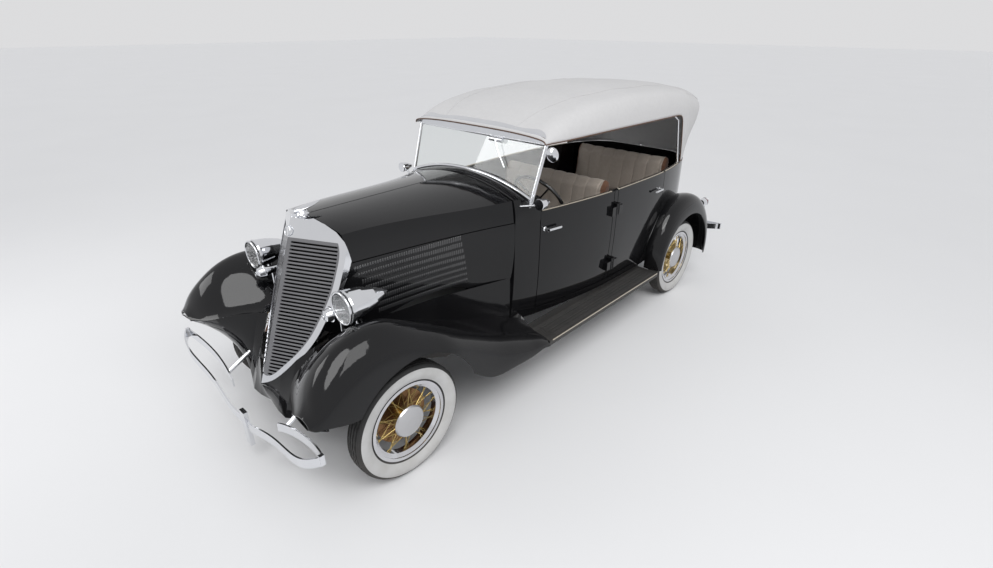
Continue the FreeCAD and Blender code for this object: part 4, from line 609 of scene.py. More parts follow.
class Paintbox:
    """Every finish of the car, each material made once."""

    BENCH = dict(bump_scale=320.0, broad_scale=6.0, threads=2200.0, weave_bump=0.3, sheen=0.25)
    BENCH_COLOURS = (rgb(0.30, 0.255, 0.215), rgb(0.43, 0.375, 0.325))
    FINISHES = {
        "body": Finish("gloss_black_paint", rgb(0.0045, 0.0045, 0.005), rgb(0.008, 0.008, 0.009), 0.07,
                       coat=0.25, coat_roughness=0.02, bump=0.012, bump_scale=500.0, broad_scale=2.0,
                       dust=0.05, specular=0.22),
        "louvre": Finish("louvre_paint", rgb(0.03, 0.03, 0.031), rgb(0.05, 0.05, 0.052), 0.18, coat=0.6,
                         bump=0.02),
        "chassis": Finish("chassis_paint", rgb(0.012, 0.012, 0.012), rgb(0.022, 0.021, 0.02), 0.45, bump=0.1,
                          dust=0.6),
        "engine": Finish("engine_iron", rgb(0.12, 0.13, 0.13), rgb(0.07, 0.07, 0.07), 0.55, metallic=0.3,
                         bump=0.3, bump_scale=120.0),
        "chrome": Finish("bright_chrome", rgb(0.80, 0.81, 0.83), rgb(0.72, 0.73, 0.76), 0.07, metallic=1.0,
                         bump=0.01, broad_scale=9.0),
        "satin": Finish("satin_chrome", rgb(0.62, 0.63, 0.64), rgb(0.50, 0.51, 0.52), 0.24, metallic=1.0,
                        bump=0.02, broad_scale=14.0),
        "grille": Finish("grille_nickel", rgb(0.30, 0.30, 0.31), rgb(0.22, 0.22, 0.23), 0.2, metallic=1.0,
                         bump=0.02, broad_scale=9.0),
        "core": Finish("radiator_core_black", rgb(0.01, 0.01, 0.01), rgb(0.02, 0.02, 0.02), 0.6, bump=0.3,
                       bump_scale=220.0),
        "board": Finish("ribbed_rubber", rgb(0.018, 0.018, 0.018), rgb(0.03, 0.03, 0.03), 0.55, bump=0.15,
                        bump_scale=420.0, dust=0.3),
        "dash": Finish("dash_brown", rgb(0.10, 0.055, 0.03), rgb(0.06, 0.032, 0.018), 0.35, coat=0.4,
                       bump=0.02),
        "wheel_black": Finish("steering_black", rgb(0.012, 0.012, 0.012), rgb(0.02, 0.02, 0.02), 0.22,
                              coat=0.3),
        "leather": Finish("brown_leather", rgb(0.16, 0.075, 0.04), rgb(0.10, 0.048, 0.026), 0.5, bump=0.25,
                          bump_scale=260.0, broad_scale=12.0),
        "piping": Finish("brown_piping", rgb(0.11, 0.05, 0.025), rgb(0.07, 0.035, 0.02), 0.6, bump=0.2),
        "lamp_red": Finish("tail_lamp_red", rgb(0.35, 0.01, 0.01), rgb(0.22, 0.008, 0.008), 0.15, coat=0.6),
        "rail": Finish("door_rail_bright", rgb(0.62, 0.56, 0.47), rgb(0.55, 0.50, 0.42), 0.22, metallic=1.0,
                       bump=0.02),
        "hub": HubFinish("wire_spoke_gold", rgb(0.42, 0.31, 0.12), rgb(0.30, 0.22, 0.08), 0.28, metallic=0.9,
                         bump=0.03),
        "canvas": ClothFinish("top_canvas", rgb(0.50, 0.495, 0.495), rgb(0.60, 0.595, 0.595), 0.85,
                              bump_scale=260.0, broad_scale=2.2, threads=1500.0, weave_bump=0.35, sheen=0.1),
        "seat": ClothFinish("seat_cloth", *BENCH_COLOURS, 0.9, **BENCH),
        "seat_front": ClothFinish("front_seat_cloth", *BENCH_COLOURS, 0.9, ends_from=0.5, **BENCH),
        "seat_rear": ClothFinish("rear_seat_cloth", *BENCH_COLOURS, 0.9, ends_from=0.468, **BENCH),
        "glass": GlassFinish("clear_glass", rgb(0.93, 0.96, 0.95), rgb(0.96, 0.98, 0.97), 0.01),
        "lens": GlassFinish("fluted_lens", rgb(0.95, 0.96, 0.96), rgb(0.98, 0.98, 0.98), 0.03, flutes=900.0),
    }

    def __init__(self) -> None:
        """Make the shared effects; materials come when first asked for."""
        self.effects = Effects()
        self.made: dict[str, bpy.types.Material] = {}

    def get(self, key: str) -> bpy.types.Material:
        """The material of a finish, made on first use."""
        if key not in self.made:
            self.made[key] = self.FINISHES[key].build(self.effects)
        return self.made[key]

    def rim(self, axle_y: float) -> bpy.types.Material:
        """The rim finish about one axle line."""
        name = "rim_front" if axle_y < 0 else "rim_rear"
        if name not in self.made:
            finish = RimFinish(name, rgb(0.70, 0.70, 0.72), rgb(0.60, 0.60, 0.62), 0.1, metallic=1.0,
                               bump=0.02, axle_y=axle_y)
            self.made[name] = finish.build(self.effects)
        return self.made[name]

    def tyre(self, axle_y: float) -> bpy.types.Material:
        """The tyre finish about one axle line."""
        name = "tyre_front" if axle_y < 0 else "tyre_rear"
        if name not in self.made:
            finish = TyreFinish(name, rgb(0.014, 0.014, 0.014), rgb(0.022, 0.022, 0.022), 0.7, bump=0.25,
                                bump_scale=300.0, dust=0.25, axle_y=axle_y)
            self.made[name] = finish.build(self.effects)
        return self.made[name]


# The car's places, in metres and in the row frame

class Side(Enum):
    """The two sides of the car."""

    LEFT = 1
    RIGHT = -1

    @property
    def word(self) -> str:
        """The side's name as the bodies use it."""
        return self.name.lower()


@dataclass(frozen=True)
class Corner:
    """One wheel: its name and the middle of its tyre."""

    name: str
    x: float
    y: float


CORNERS = (Corner("front_left", 0.715, FRONT_AXLE_Y), Corner("front_right", -0.715, FRONT_AXLE_Y),
           Corner("rear_left", 0.720, REAR_AXLE_Y), Corner("rear_right", -0.720, REAR_AXLE_Y))


def from_axle(points: Sequence[Sequence[float]]) -> Array:
    """Points given in millimetres from the front axle's line, in metres of the row frame."""
    return np.asarray(points, float) / 1000.0 + np.array([0.0, FRONT_AXLE_Y, 0.0])


FINISH_NODES = {
    "chassis": ("front_axle", "rear_axle", "knuckle_left", "knuckle_right", "frame_rails", "fuel_tank"),
    "engine": ("engine_block",),
    "body": ("body_tub", "cowl", "door_front_left", "door_rear_left", "door_front_right", "door_rear_right",
             "hood_left", "hood_right", "hood_sides", "front_fenders", "rear_fenders"),
    "chrome": ("radiator_shell", "windshield_frame", "top_irons", "lamp_shells", "horns", "bumper_front",
               "bumper_rear", "tail_lamps"),
    "grille": ("grille",),
    "core": ("radiator_core",),
    "board": ("running_boards",),
    "glass": ("windshield_glass",),
    "canvas": ("canvas_top",),
    "seat": ("seat_front", "seat_rear"),
    "dash": ("dashboard",),
    "wheel_black": ("steering_wheel",),
    "lens": ("lamp_lenses",),
}
NODE_FINISH = {node: finish for finish, nodes in FINISH_NODES.items() for node in nodes}


def dress_frame(paint: Paintbox) -> None:
    """Give every CAD node its finish.

    Args:
        paint: the finishes.
    """
    for name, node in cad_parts.items():
        if name.startswith("rim_"):
            material = paint.rim(FRONT_AXLE_Y if "front" in name else REAR_AXLE_Y)
        elif name.startswith("hub_"):
            material = paint.get("hub")
        elif name.startswith("tyre_"):
            material = paint.tyre(FRONT_AXLE_Y if "front" in name else REAR_AXLE_Y)
        else:
            material = paint.get(NODE_FINISH[name])
        node.data.materials.clear()
        node.data.materials.append(material)


# Wheels

@dataclass
class Tyre:
    """A tyre with ribbed tread and rounded sidewalls, in place of the plain ring."""

    corner: Corner
    segments: int = 160
    slot_every: int = 4
    slot_depth: float = 0.0035
    slots_beyond: float = 0.3565

    # Half the width and the radius in millimetres, from the bead to the middle rib.
    WALL = ((32, 238.5), (35, 251), (44, 262), (57, 283), (63.4, 304), (63, 322), (58.5, 338), (50, 351))
    RIBS = ((44, 355.5), (39, 357.6), (38, 352), (29, 353), (28, 358.6), (16, 359.1), (15, 353), (8, 353),
            (7, 359.4))

    def build(self, paint: Paintbox) -> None:
        """Make the tyre, its ribs cut by fine slots all round.

        Args:
            paint: the finishes.
        """
        half = np.array(self.WALL + self.RIBS) / 1000.0
        profile = np.concatenate([half * [-1.0, 1.0], half[::-1]])
        turn = np.linspace(0, 2 * math.pi, self.segments, endpoint=False)
        radius = np.repeat(profile[None, :, 1], self.segments, 0)
        slots = (np.arange(self.segments) % self.slot_every == 0)[:, None] & (radius > self.slots_beyond)
        radius = np.where(slots, radius - self.slot_depth, radius)
        x = self.corner.x + np.repeat(profile[None, :, 0], self.segments, 0)
        y = self.corner.y + radius * np.cos(turn)[:, None]
        z = AXLE_Z + radius * np.sin(turn)[:, None]
        surface = grid(np.stack([x, y, z], 2), close_u=True)
        piece = make_object("tread_" + self.corner.name, surface, paint.tyre(self.corner.y), 32.0)
        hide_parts("tyre_" + self.corner.name)
        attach(piece, "wheel_" + self.corner.name)


# Canvas top

@dataclass
class CanvasTop:
    """The raised top as one stretched sheet over its bows, with piping round the openings.

    All its tables are in millimetres from the front axle's line. A station is its place along the car,
    half the width at the eave and at the belt, then the heights of eave, shoulder and centre.
    """

    stations: tuple = ((1290, 640, 600, 1700, 1716, 1748), (1450, 650, 620, 1700, 1780, 1846),
                       (1750, 656, 650, 1698, 1830, 1925), (2100, 658, 656, 1696, 1850, 1956),
                       (2650, 658, 658, 1690, 1852, 1960), (3100, 652, 655, 1685, 1836, 1938),
                       (3450, 628, 588, 1680, 1800, 1888), (3600, 600, 503, 1676, 1765, 1835),
                       (3700, 555, 398, 1672, 1715, 1770), (3728, 520, 340, 1668, 1690, 1735))
    edge: tuple = ((1290, 1702), (1750, 1700), (2100, 1698), (2650, 1692), (3100, 1687), (3150, 1679),
                   (3172, 1668), (3188, 1652), (3200, 1632), (3212, 1590), (3290, 1296), (3300, 1252))
    runs: tuple = ((1290, 3130, 22), (3130, 3305, 3.5), (3305, 3700, 14))
    last_run: tuple = (3700, 3728, 8)
    curtain: tuple = (0.93, 0.8, 0.62, 0.44, 0.26, 0.1, 0.02)
    bows: tuple = (1335, 1860, 2380, 2900, 3330)
    belt: float = 1252.0
    half_count: int = 36
    seam_column: int = 17
    sag: float = 7.0
    cloth: float = 0.003
    seam_lift: float = 0.0012

    def rows(self) -> Array:
        """Stations at close spacing along the car, closest at the rear corner of the opening."""
        table = np.array(self.stations, float)
        places = [np.arange(*run) for run in self.runs] + [np.linspace(*self.last_run)]
        ys = np.unique(np.concatenate(places))
        return np.column_stack([ys] + [natural_curve(table[:, 0], table[:, k], ys) for k in range(1, 6)])

    def section(self, row: Array) -> Array:
        """Points over the roof from one lower edge to the other at one station."""
        y, half, belt_half, eave, shoulder, centre = row
        crown = centre - shoulder
        line = np.array([(belt_half, self.belt),
                         (belt_half + (half - belt_half) * 0.6, self.belt + (eave - self.belt) * 0.5),
                         (half, eave),
                         (half - 4, eave + (shoulder - eave) * 0.6),
                         (half - 44, shoulder + crown * 0.35),
                         (half * 0.72, shoulder + crown * 0.74),
                         (half * 0.42, shoulder + crown * 0.94),
                         (0.0, centre)])
        knots = lengths_along(line)
        full = np.concatenate([line, line[-2::-1] * [-1, 1]])
        spots = np.concatenate([knots, 2 * knots[-1] - knots[-2::-1]])
        fine = np.linspace(0, knots[-1], 160)
        x, z = natural_curve(spots, full[:, 0], fine), natural_curve(spots, full[:, 1], fine)
        limit = np.interp(y, *np.array(self.edge).T)
        start = float(np.interp(limit, np.maximum.accumulate(z), fine)) if limit > self.belt else 0.0
        at = np.linspace(start, knots[-1], self.half_count)
        side = np.column_stack([np.interp(at, fine, x), np.full(self.half_count, y), np.interp(at, fine, z)])
        return np.concatenate([side, side[-2::-1] * [-1, 1, 1]])

    def build(self, paint: Paintbox) -> None:
        """Make the sheet, its seams and its piping.

        Args:
            paint: the finishes.
        """
        points = np.array([self.section(row) for row in self.rows()])
        points = np.concatenate([points, self.back_curtain(points[-1])])
        points = self.drawn_between_bows(points)
        surface = grid(from_axle(points))
        sheet = make_object("canvas_sheet", surface, paint.get("canvas"), 60.0)
        thick = sheet.modifiers.new("thickness", "SOLIDIFY")
        thick.thickness = self.cloth
        thick.offset = -1.0
        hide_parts("canvas_top")
        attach(sheet, CHASSIS)
        pieces = self.piping(points, paint) + self.seams(points, paint)

    def back_curtain(self, last: Array) -> Array:
        """Rows that carry the last section down across the back."""
        rows = []
        for share in self.curtain:
            row = last.copy()
            row[:, 0] *= share
            row[:, 2] = self.belt + (last[:, 2] - self.belt) * share
            row[:, 1] += 2.0 * math.sin(math.pi * share)
            rows.append(row)
        return np.array(rows)

    def drawn_between_bows(self, points: Array) -> Array:
        """Let the cloth sink a little between the bows, with soft creases by the corners."""
        x, y, z = points[..., 0], points[..., 1], points[..., 2]
        across = np.abs(x)
        gap = np.min([np.abs(y - b) for b in self.bows], axis=0)
        over = fade(z, 1720, 1840) * fade(y, 3560, 3360)
        sag = self.sag * (1 - np.exp(-(gap / 120) ** 2)) * over
        crease = 1.3 * np.sin(y / 31 + across / 57) * fade(across, 330, 590) * fade(y, 3000, 3350)
        crease += 0.9 * np.sin((y + 0.6 * across) / 38) * fade(y, 1640, 1340) * fade(across, 200, 550)
        rear = fade(y, 3300, 3390) * 1.6 * np.sin(z / 47 + y / 60) * (across > 250)
        out = points.copy()
        out[..., 2] -= sag - crease
        out[..., 0] -= np.sign(x) * np.abs(rear) * 0.7
        return out

    def rear_row(self, points: Array) -> int:
        """The row that lies over the last bow."""
        return int(np.argmin(np.abs(points[:, self.half_count - 1, 1] - self.bows[-1])))

    def cord(self, name: str, line: Array, profile: Array, material: bpy.types.Material) -> bpy.types.Object:
        """A cord sewn along a line of the sheet."""
        piece = make_object(name, sweep(line, profile), material)
        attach(piece, CHASSIS)
        return piece

    def piping(self, points: Array, paint: Paintbox) -> list:
        """Brown piping on both lower edges and over the header."""
        pieces = []
        profile = circle(0.0042, 8)
        for side in Side:
            edge = from_axle(points[:-len(self.curtain), 0 if side is Side.LEFT else -1])
            edge = edge + np.array([0.001 * side.value, 0, 0.003])
            above_belt = edge[edge[:, 2] > 1.256]
            pieces.append(self.cord(f"top_piping_{side.word}", above_belt, profile, paint.get("piping")))
        front = from_axle(points[0]) + np.array([0, -0.001, 0.004])
        return pieces + [self.cord("top_piping_front", front, profile, paint.get("piping"))]

    def seams(self, points: Array, paint: Paintbox) -> list:
        """Two sewn seams from front to rear and one across at the rear bow."""
        pieces = []
        profile = circle(0.0016, 6)
        lift = np.array([0, 0, self.seam_lift])
        for column in (self.seam_column, len(points[0]) - 1 - self.seam_column):
            line = from_axle(points[2:-10, column]) + lift
            pieces.append(self.cord(f"top_seam_{column}", line, profile, paint.get("canvas")))
        across = from_axle(points[self.rear_row(points), 3:-3]) + lift
        return pieces + [self.cord("top_seam_rear", across, profile, paint.get("canvas"))]


def fade(values: Array, start: float, end: float) -> Array:
    """0 at start and 1 at end, held beyond them."""
    return np.clip((values - start) / (end - start), 0, 1)


def natural_curve(knots: Array, values: Array, at: Array) -> Array:
    """Natural cubic spline through (knots, values), read at other places.

    Args:
        knots: rising places of the values.
        values: the values.
        at: where to read.

    Returns:
        The spline's values there.
    """
    h = np.diff(knots)
    n = len(knots)
    system = np.zeros((n, n))
    right = np.zeros(n)
    system[0, 0] = system[-1, -1] = 1.0
    slope = np.diff(values) / h
    for i in range(1, n - 1):
        system[i, i - 1:i + 2] = h[i - 1], 2 * (h[i - 1] + h[i]), h[i]
        right[i] = 6 * (slope[i] - slope[i - 1])
    second = np.linalg.solve(system, right)
    i = np.clip(np.searchsorted(knots, at, side="right") - 1, 0, n - 2)
    a, b = knots[i + 1] - at, at - knots[i]
    cubic = (second[i] * a ** 3 + second[i + 1] * b ** 3) / (6 * h[i])
    before = (values[i] / h[i] - second[i] * h[i] / 6) * a
    after = (values[i + 1] / h[i] - second[i + 1] * h[i] / 6) * b
    return cubic + before + after


def lengths_along(line: Array) -> Array:
    """Length along a line up to each of its points."""
    return np.concatenate([[0], np.cumsum(np.linalg.norm(np.diff(line, axis=0), axis=1))])


# Seats

@dataclass
class Pad:
    """One stuffed pad: a side profile, given its swell by a short cloth run, then pleated."""

    name: str
    half: float
    line: tuple
    voxel: float = 0.009
    cap: float = 0.024
    pleat: float = 0.128
    fill: float = 0.7
    pressure: float = 4.0
    frames: int = 20
    leather_end: float = 0.07
    puff: float = 0.006
    sewn: float = 0.004
    stitch: float = 0.005

    # How far along the half width, and the profile's size there.
    ENDS = ((0.9, 1.0), (0.955, 0.985), (0.985, 0.93), (1.0, 0.80))

    def blank(self) -> Surface:
        """The closed block the pad starts from, with rounded ends."""
        centre = np.mean(self.line, axis=0)
        ring = smooth_ring(np.array(self.line), 64)
        xs = [(-x, share) for x, share in reversed(self.ENDS)] + list(self.ENDS)
        rows = []
        for x, share in xs:
            flat = centre + (ring - centre) * share
            rows.append(np.column_stack([np.full(len(flat), x * self.half), flat]))
        return grid(np.array(rows), close_v=True, cap_u=True)

    def build(self, paint: Paintbox) -> bpy.types.Object:
        """Swell the pad, sew its pleats and finish it.

        Args:
            paint: the finishes.

        Returns:
            The pad.
        """
        finish = paint.get("seat_front" if "front" in self.name else "seat_rear")
        pad = make_object(self.name, self.blank(), finish, 180.0)
        bm = bmesh.new()
        bm.from_mesh(pad.data)
        bmesh.ops.recalc_face_normals(bm, faces=bm.faces)
        bm.to_mesh(pad.data)
        bm.free()
        remesh = pad.modifiers.new("remesh", "REMESH")
        remesh.mode = "VOXEL"
        remesh.voxel_size = self.voxel * 1.0
        bake(pad)
        self.swell(pad)
        divide = pad.modifiers.new("divide", "SUBSURF")
        divide.levels = divide.render_levels = 1
        bake(pad)
        self.sew(pad)
        pad.data.materials.clear()
        pad.data.materials.append(finish)
        pad.data.shade_smooth()
        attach(pad, CHASSIS)
        return pad

    def swell(self, pad: bpy.types.Object) -> None:
        """Blow the pad up by cloth pressure and hold how far each point may go."""
        start = points_of(pad.data)
        cloth = pad.modifiers.new("cloth", "CLOTH")
        cloth.settings.use_pressure = True
        cloth.settings.uniform_pressure_force = self.pressure
        cloth.settings.effector_weights.gravity = 0.0
        cloth.settings.quality = 4
        cloth.collision_settings.use_collision = False
        cloth.point_cache.frame_start = 1
        cloth.point_cache.frame_end = self.frames
        scene = bpy.context.scene
        for step in range(1, self.frames + 1):
            scene.frame_set(step)
        shape = pad.evaluated_get(bpy.context.evaluated_depsgraph_get())
        end = points_of(shape.data)
        pad.modifiers.remove(cloth)
        scene.frame_set(1)
        move = end - start
        far = np.linalg.norm(move, axis=1, keepdims=True)
        move *= np.minimum(1.0, self.cap / np.maximum(far, 1e-9))
        pad.data.vertices.foreach_set("co", (start + move).ravel())
        pad.data.update()

    def sew(self, pad: bpy.types.Object) -> None:
        """Draw in the pleats and the seams beside the leather ends."""
        points, normals = points_of(pad.data), normals_of(pad.data)
        edge = self.half - self.leather_end
        count = max(2, round(2 * edge / self.pleat))
        lines = np.linspace(-edge, edge, count + 1)
        near = np.min(np.abs(points[:, :1] - lines[None]), axis=1)
        faces = np.clip((np.maximum(-normals[:, 1], normals[:, 2]) - 0.15) / 0.4, 0, 1)
        puff = self.puff * np.sqrt(np.clip(near / (self.pleat / 2), 0, 1))
        stitch = self.stitch * np.exp(-(near / self.stitch) ** 2)
        inside = np.abs(points[:, 0]) < edge + 0.012
        depth = (self.sewn - puff + stitch) * faces * inside
        pad.data.vertices.foreach_set("co", (points - normals * depth[:, None]).ravel())
        pad.data.update()


def smooth_ring(corners: Array, count: int, rounds: int = 3) -> Array:
    """Closed line with its corners rounded, from a few corner points."""
    line = np.asarray(corners, float)
    for _ in range(rounds):
        after = np.roll(line, -1, axis=0)
        line = np.stack([line * 0.8 + after * 0.2, line * 0.2 + after * 0.8], 1).reshape(-1, 2)
    closed = np.vstack([line, line[:1]])
    length = lengths_along(closed)
    at = np.linspace(0, length[-1], count, endpoint=False)
    return np.column_stack([np.interp(at, length, closed[:, k]) for k in range(2)])


def points_of(mesh: bpy.types.Mesh) -> Array:
    """A mesh's points."""
    flat = np.empty(len(mesh.vertices) * 3)
    mesh.vertices.foreach_get("co", flat)
    return flat.reshape(-1, 3)


def normals_of(mesh: bpy.types.Mesh) -> Array:
    """A mesh's point normals."""
    flat = np.empty(len(mesh.vertices) * 3)
    mesh.vertices.foreach_get("normal", flat)
    return flat.reshape(-1, 3)


def bake(obj: bpy.types.Object) -> None:
    """Put an object's modifiers into its mesh."""
    shape = obj.evaluated_get(bpy.context.evaluated_depsgraph_get())
    mesh = bpy.data.meshes.new_from_object(shape)
    obj.modifiers.clear()
    obj.data = mesh


@dataclass
class Bench:
    """One bench seat: cushion and back as stuffed pads on a covered box.

    The profiles are places along the car from the seat's line, and heights above the ground.
    """

    name: str
    half: float
    y: float
    floor: float

    CUSHION = ((-0.492, 0.735), (-0.505, 0.85), (-0.25, 0.868), (-0.045, 0.838), (-0.02, 0.735))
    BACK = ((0.002, 0.80), (-0.005, 0.90), (0.045, 1.26), (0.085, 1.292), (0.125, 1.262), (0.13, 0.80))
    BOX = ((-0.485, 0.745), (0.012, 0.745), (0.012, 0.82), (0.12, 0.82))

    def placed(self, profile: Sequence[Sequence[float]]) -> tuple:
        """A profile at this seat's place along the car."""
        return tuple((self.y + along, height) for along, height in profile)

    def build(self, paint: Paintbox) -> None:
        """Make the two pads and the base.

        Args:
            paint: the finishes.
        """
        cushion = Pad(f"seat_cushion_{self.name}", self.half, self.placed(self.CUSHION), voxel=0.011,
                      cap=0.022)
        back = Pad(f"seat_back_{self.name}", self.half, self.placed(self.BACK), voxel=0.0095)
        for piece in (cushion.build(paint), back.build(paint), self.base(paint)):
            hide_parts(f"seat_{self.name}")

    def base(self, paint: Paintbox) -> bpy.types.Object:
        """The covered box under the seat, up to the pads."""
        front, back = self.BOX[0][0], self.BOX[-1][0]
        line = np.array(self.placed(((front, self.floor),) + self.BOX + ((back, self.floor),)))
        inset = self.half - 0.006
        rows = [np.column_stack([np.full(len(line), x), line]) for x in (-inset, inset)]
        points = np.array(rows).reshape(-1, 3)
        count = len(line)
        quads = [[k, (k + 1) % count, count + (k + 1) % count, count + k] for k in range(count)]
        quads += [[0, 5, 4, 3], [0, 3, 2, 1], [6, 9, 10, 11], [6, 7, 8, 9]]
        box = Surface(points, np.array(quads))
        obj = make_object(f"seat_base_{self.name}", box, paint.get("leather"), 30.0)
        recalculated(obj)
        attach(obj, CHASSIS)
        return obj


BENCHES = (Bench("front", 0.552, 0.410, 0.500), Bench("rear", 0.517, 1.500, 0.700))


def recalculated(obj: bpy.types.Object) -> bpy.types.Object:
    """Merge doubles and turn every face outward."""
    bm = bmesh.new()
    bm.from_mesh(obj.data)
    bmesh.ops.remove_doubles(bm, verts=bm.verts, dist=1e-6)
    bmesh.ops.recalc_face_normals(bm, faces=bm.faces)
    bm.to_mesh(obj.data)
    bm.free()
    return obj


# Trim that follows the panels

OUTSIDE = 1.3
ABOVE = 1.0
UPWARD = (0.0, 0.0, 1.0)
DOWNWARD = (0.0, 0.0, -1.0)
FORWARD = (0.0, -1.0, 0.0)
REARWARD = (0.0, 1.0, 0.0)
FEWEST_POINTS = 5
TRIM_ANGLE = 50.0
METAL_ANGLE = 40.0
RAIL_ANGLE = 60.0


def tree_of(node: str) -> BVHTree:
    """A CAD node's surface, ready to be met by rays."""
    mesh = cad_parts[node].data
    mesh.calc_loop_triangles()
    points = [v.co.copy() for v in mesh.vertices]
    return BVHTree.FromPolygons(points, [tuple(t.vertices) for t in mesh.loop_triangles])


def meet(tree: BVHTree, start: Sequence[float], direction: Sequence[float]) -> tuple[Array, Array] | None:
    """Where a ray meets a surface, with the outward normal there, or None."""
    spot, normal, _, _ = tree.ray_cast(Vector(start), Vector(direction))
    if spot is None:
        return None
    out = np.array(normal)
    if out @ np.array(direction) > 0:
        out = -out
    return np.array(spot), out


def from_side(tree: BVHTree, side: Side, y: float, z: float) -> tuple[Array, Array] | None:
    """Where a level ray from outside the car meets a surface."""
    return meet(tree, (OUTSIDE * side.value, y, z), (-side.value, 0, 0))


def ring_at(centre: Array, axis: Sequence[float], radius: float, wire: float, count: int = 48) -> Surface:
    """A round ring about an axis.

    Args:
        centre: the ring's middle.
        axis: the direction through it.
        radius: from the middle to the wire's middle.
        wire: the wire's radius.
        count: segments round the ring.

    Returns:
        The surface.
    """
    ahead = np.asarray(axis, float)
    side = np.cross(ahead, UPWARD)
    side /= np.linalg.norm(side)
    rise = np.cross(side, ahead)
    turn = np.linspace(0, 2 * math.pi, count, endpoint=False)
    out = np.cos(turn)[:, None] * side + np.sin(turn)[:, None] * rise
    small = circle(wire, 10)
    points = np.asarray(centre) + out[:, None] * (radius + small[None, :, :1]) + ahead * small[None, :, 1:]
    return grid(points, close_u=True, close_v=True)


@dataclass
class Louvres:
    """Rows of small pressed louvres over both sides of the hood."""

    rows: int = 8
    count: int = 46
    top: float = 1.176
    bottom: float = 0.862
    front_ends: tuple = (-1.740, -1.612)
    rear_ends: tuple = (-1.051, -0.994)
    slope: float = 0.03
    level_y: float = -1.4
    proud: float = 0.0002

    HEIGHTS = np.array([[0.0, 0.0, 0.0, 0.0],
                        [0.0, 0.0018, 0.0032, 0.0],
                        [0.0, 0.0026, 0.0044, 0.0],
                        [0.0, 0.0018, 0.0032, 0.0],
                        [0.0, 0.0, 0.0, 0.0]])
    ALONG = np.array([-0.0052, -0.0015, 0.0034, 0.0040])
    UP = np.array([-0.0145, -0.0105, 0.0, 0.0105, 0.0145])

    def build(self, paint: Paintbox) -> None:
        """Press a louvre wherever a ray from the side meets the panel.

        Args:
            paint: the finishes.
        """
        tree = tree_of("hood_sides")
        for side in Side:
            met = [from_side(tree, side, y, z) for y, z in self.places()]
            shapes = [self.one(*found) for found in met if found]
            piece = make_object(f"louvres_{side.word}", joined(shapes), paint.get("louvre"), TRIM_ANGLE)
            recalculated(piece)
            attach(piece, CHASSIS)

    def places(self) -> list:
        """The louvres' (y, z) places, row by row from the top."""
        found = []
        for share in np.linspace(0.0, 1.0, self.rows):
            z = self.top + (self.bottom - self.top) * share
            start, end = (a + (b - a) * share for a, b in (self.front_ends, self.rear_ends))
            found += [(y, z + self.slope * (y - self.level_y)) for y in np.linspace(start, end, self.count)]
        return found

    def one(self, spot: Array, normal: Array) -> Surface:
        """One louvre standing on the panel, opening rearward."""
        along = np.array(REARWARD) - normal * normal[1]
        along /= np.linalg.norm(along)
        up = np.cross(normal, along)
        return grid(spot + along * self.ALONG[None, :, None] + up * self.UP[:, None, None]
                    + normal * (self.HEIGHTS[..., None] + self.proud))


@dataclass
class BoardTrim:
    """Ribs along both running boards, and the bright strip on their outer edge."""

    ribs: int = 13
    inner: float = 0.668
    outer: float = 0.812
    rib_ends: tuple = (-0.50, 0.90)
    rib_half_sizes: tuple = (0.0026, 0.0034)
    rib_lift: float = 0.0006
    strip_x: float = 0.825
    strip_ends: tuple = (-0.565, 0.955)
    strip_half_sizes: tuple = (0.0048, 0.0062)
    strip_drop: float = 0.004
    edge_drop: float = 0.008
    facing_up: float = 0.6

    def build(self, paint: Paintbox) -> None:
        """Lay the ribs and the strips on the boards.

        Args:
            paint: the finishes.
        """
        tree = tree_of("running_boards")
        for side in Side:
            across = np.linspace(self.inner, self.outer, self.ribs)
            lines = [self.rib_line(tree, side.value * x) for x in across]
            profile = circle(1.0, 10) * self.rib_half_sizes
            ribs = [sweep(np.array(line), profile) for line in lines if len(line) >= FEWEST_POINTS]
            piece = make_object(f"board_ribs_{side.word}", joined(ribs), paint.get("board"), TRIM_ANGLE)
            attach(piece, CHASSIS)
            strip = sweep(np.array(self.strip_line(tree, side)), circle(1.0, 10) * self.strip_half_sizes)
            piece = make_object(f"board_strip_{side.word}", strip, paint.get("rail"), TRIM_ANGLE)
            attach(piece, CHASSIS)

    def rib_line(self, tree: BVHTree, x: float) -> list:
        """Points along one rib where the board's flat top carries it."""
        line = []
        for y in np.linspace(*self.rib_ends, 36):
            found = meet(tree, (x, y, ABOVE), DOWNWARD)
            if found and found[1][2] > self.facing_up:
                line.append(found[0] + np.array([0, 0, self.rib_lift]))
        return line

    def strip_line(self, tree: BVHTree, side: Side) -> list:
        """Points along the board's outer edge, just below its top."""
        line = []
        for y in np.linspace(*self.strip_ends, 40):
            down = meet(tree, (side.value * self.strip_x, y, ABOVE), DOWNWARD)
            across = down and from_side(tree, side, y, down[0][2] - self.edge_drop)
            if across:
                line.append([across[0][0], y, down[0][2] - self.strip_drop])
        return line


@dataclass(frozen=True)
class DoorSpan:
    """Where one door's rail and handle run along the car."""

    place: str
    start: float
    end: float
    grip: float
    tip: float


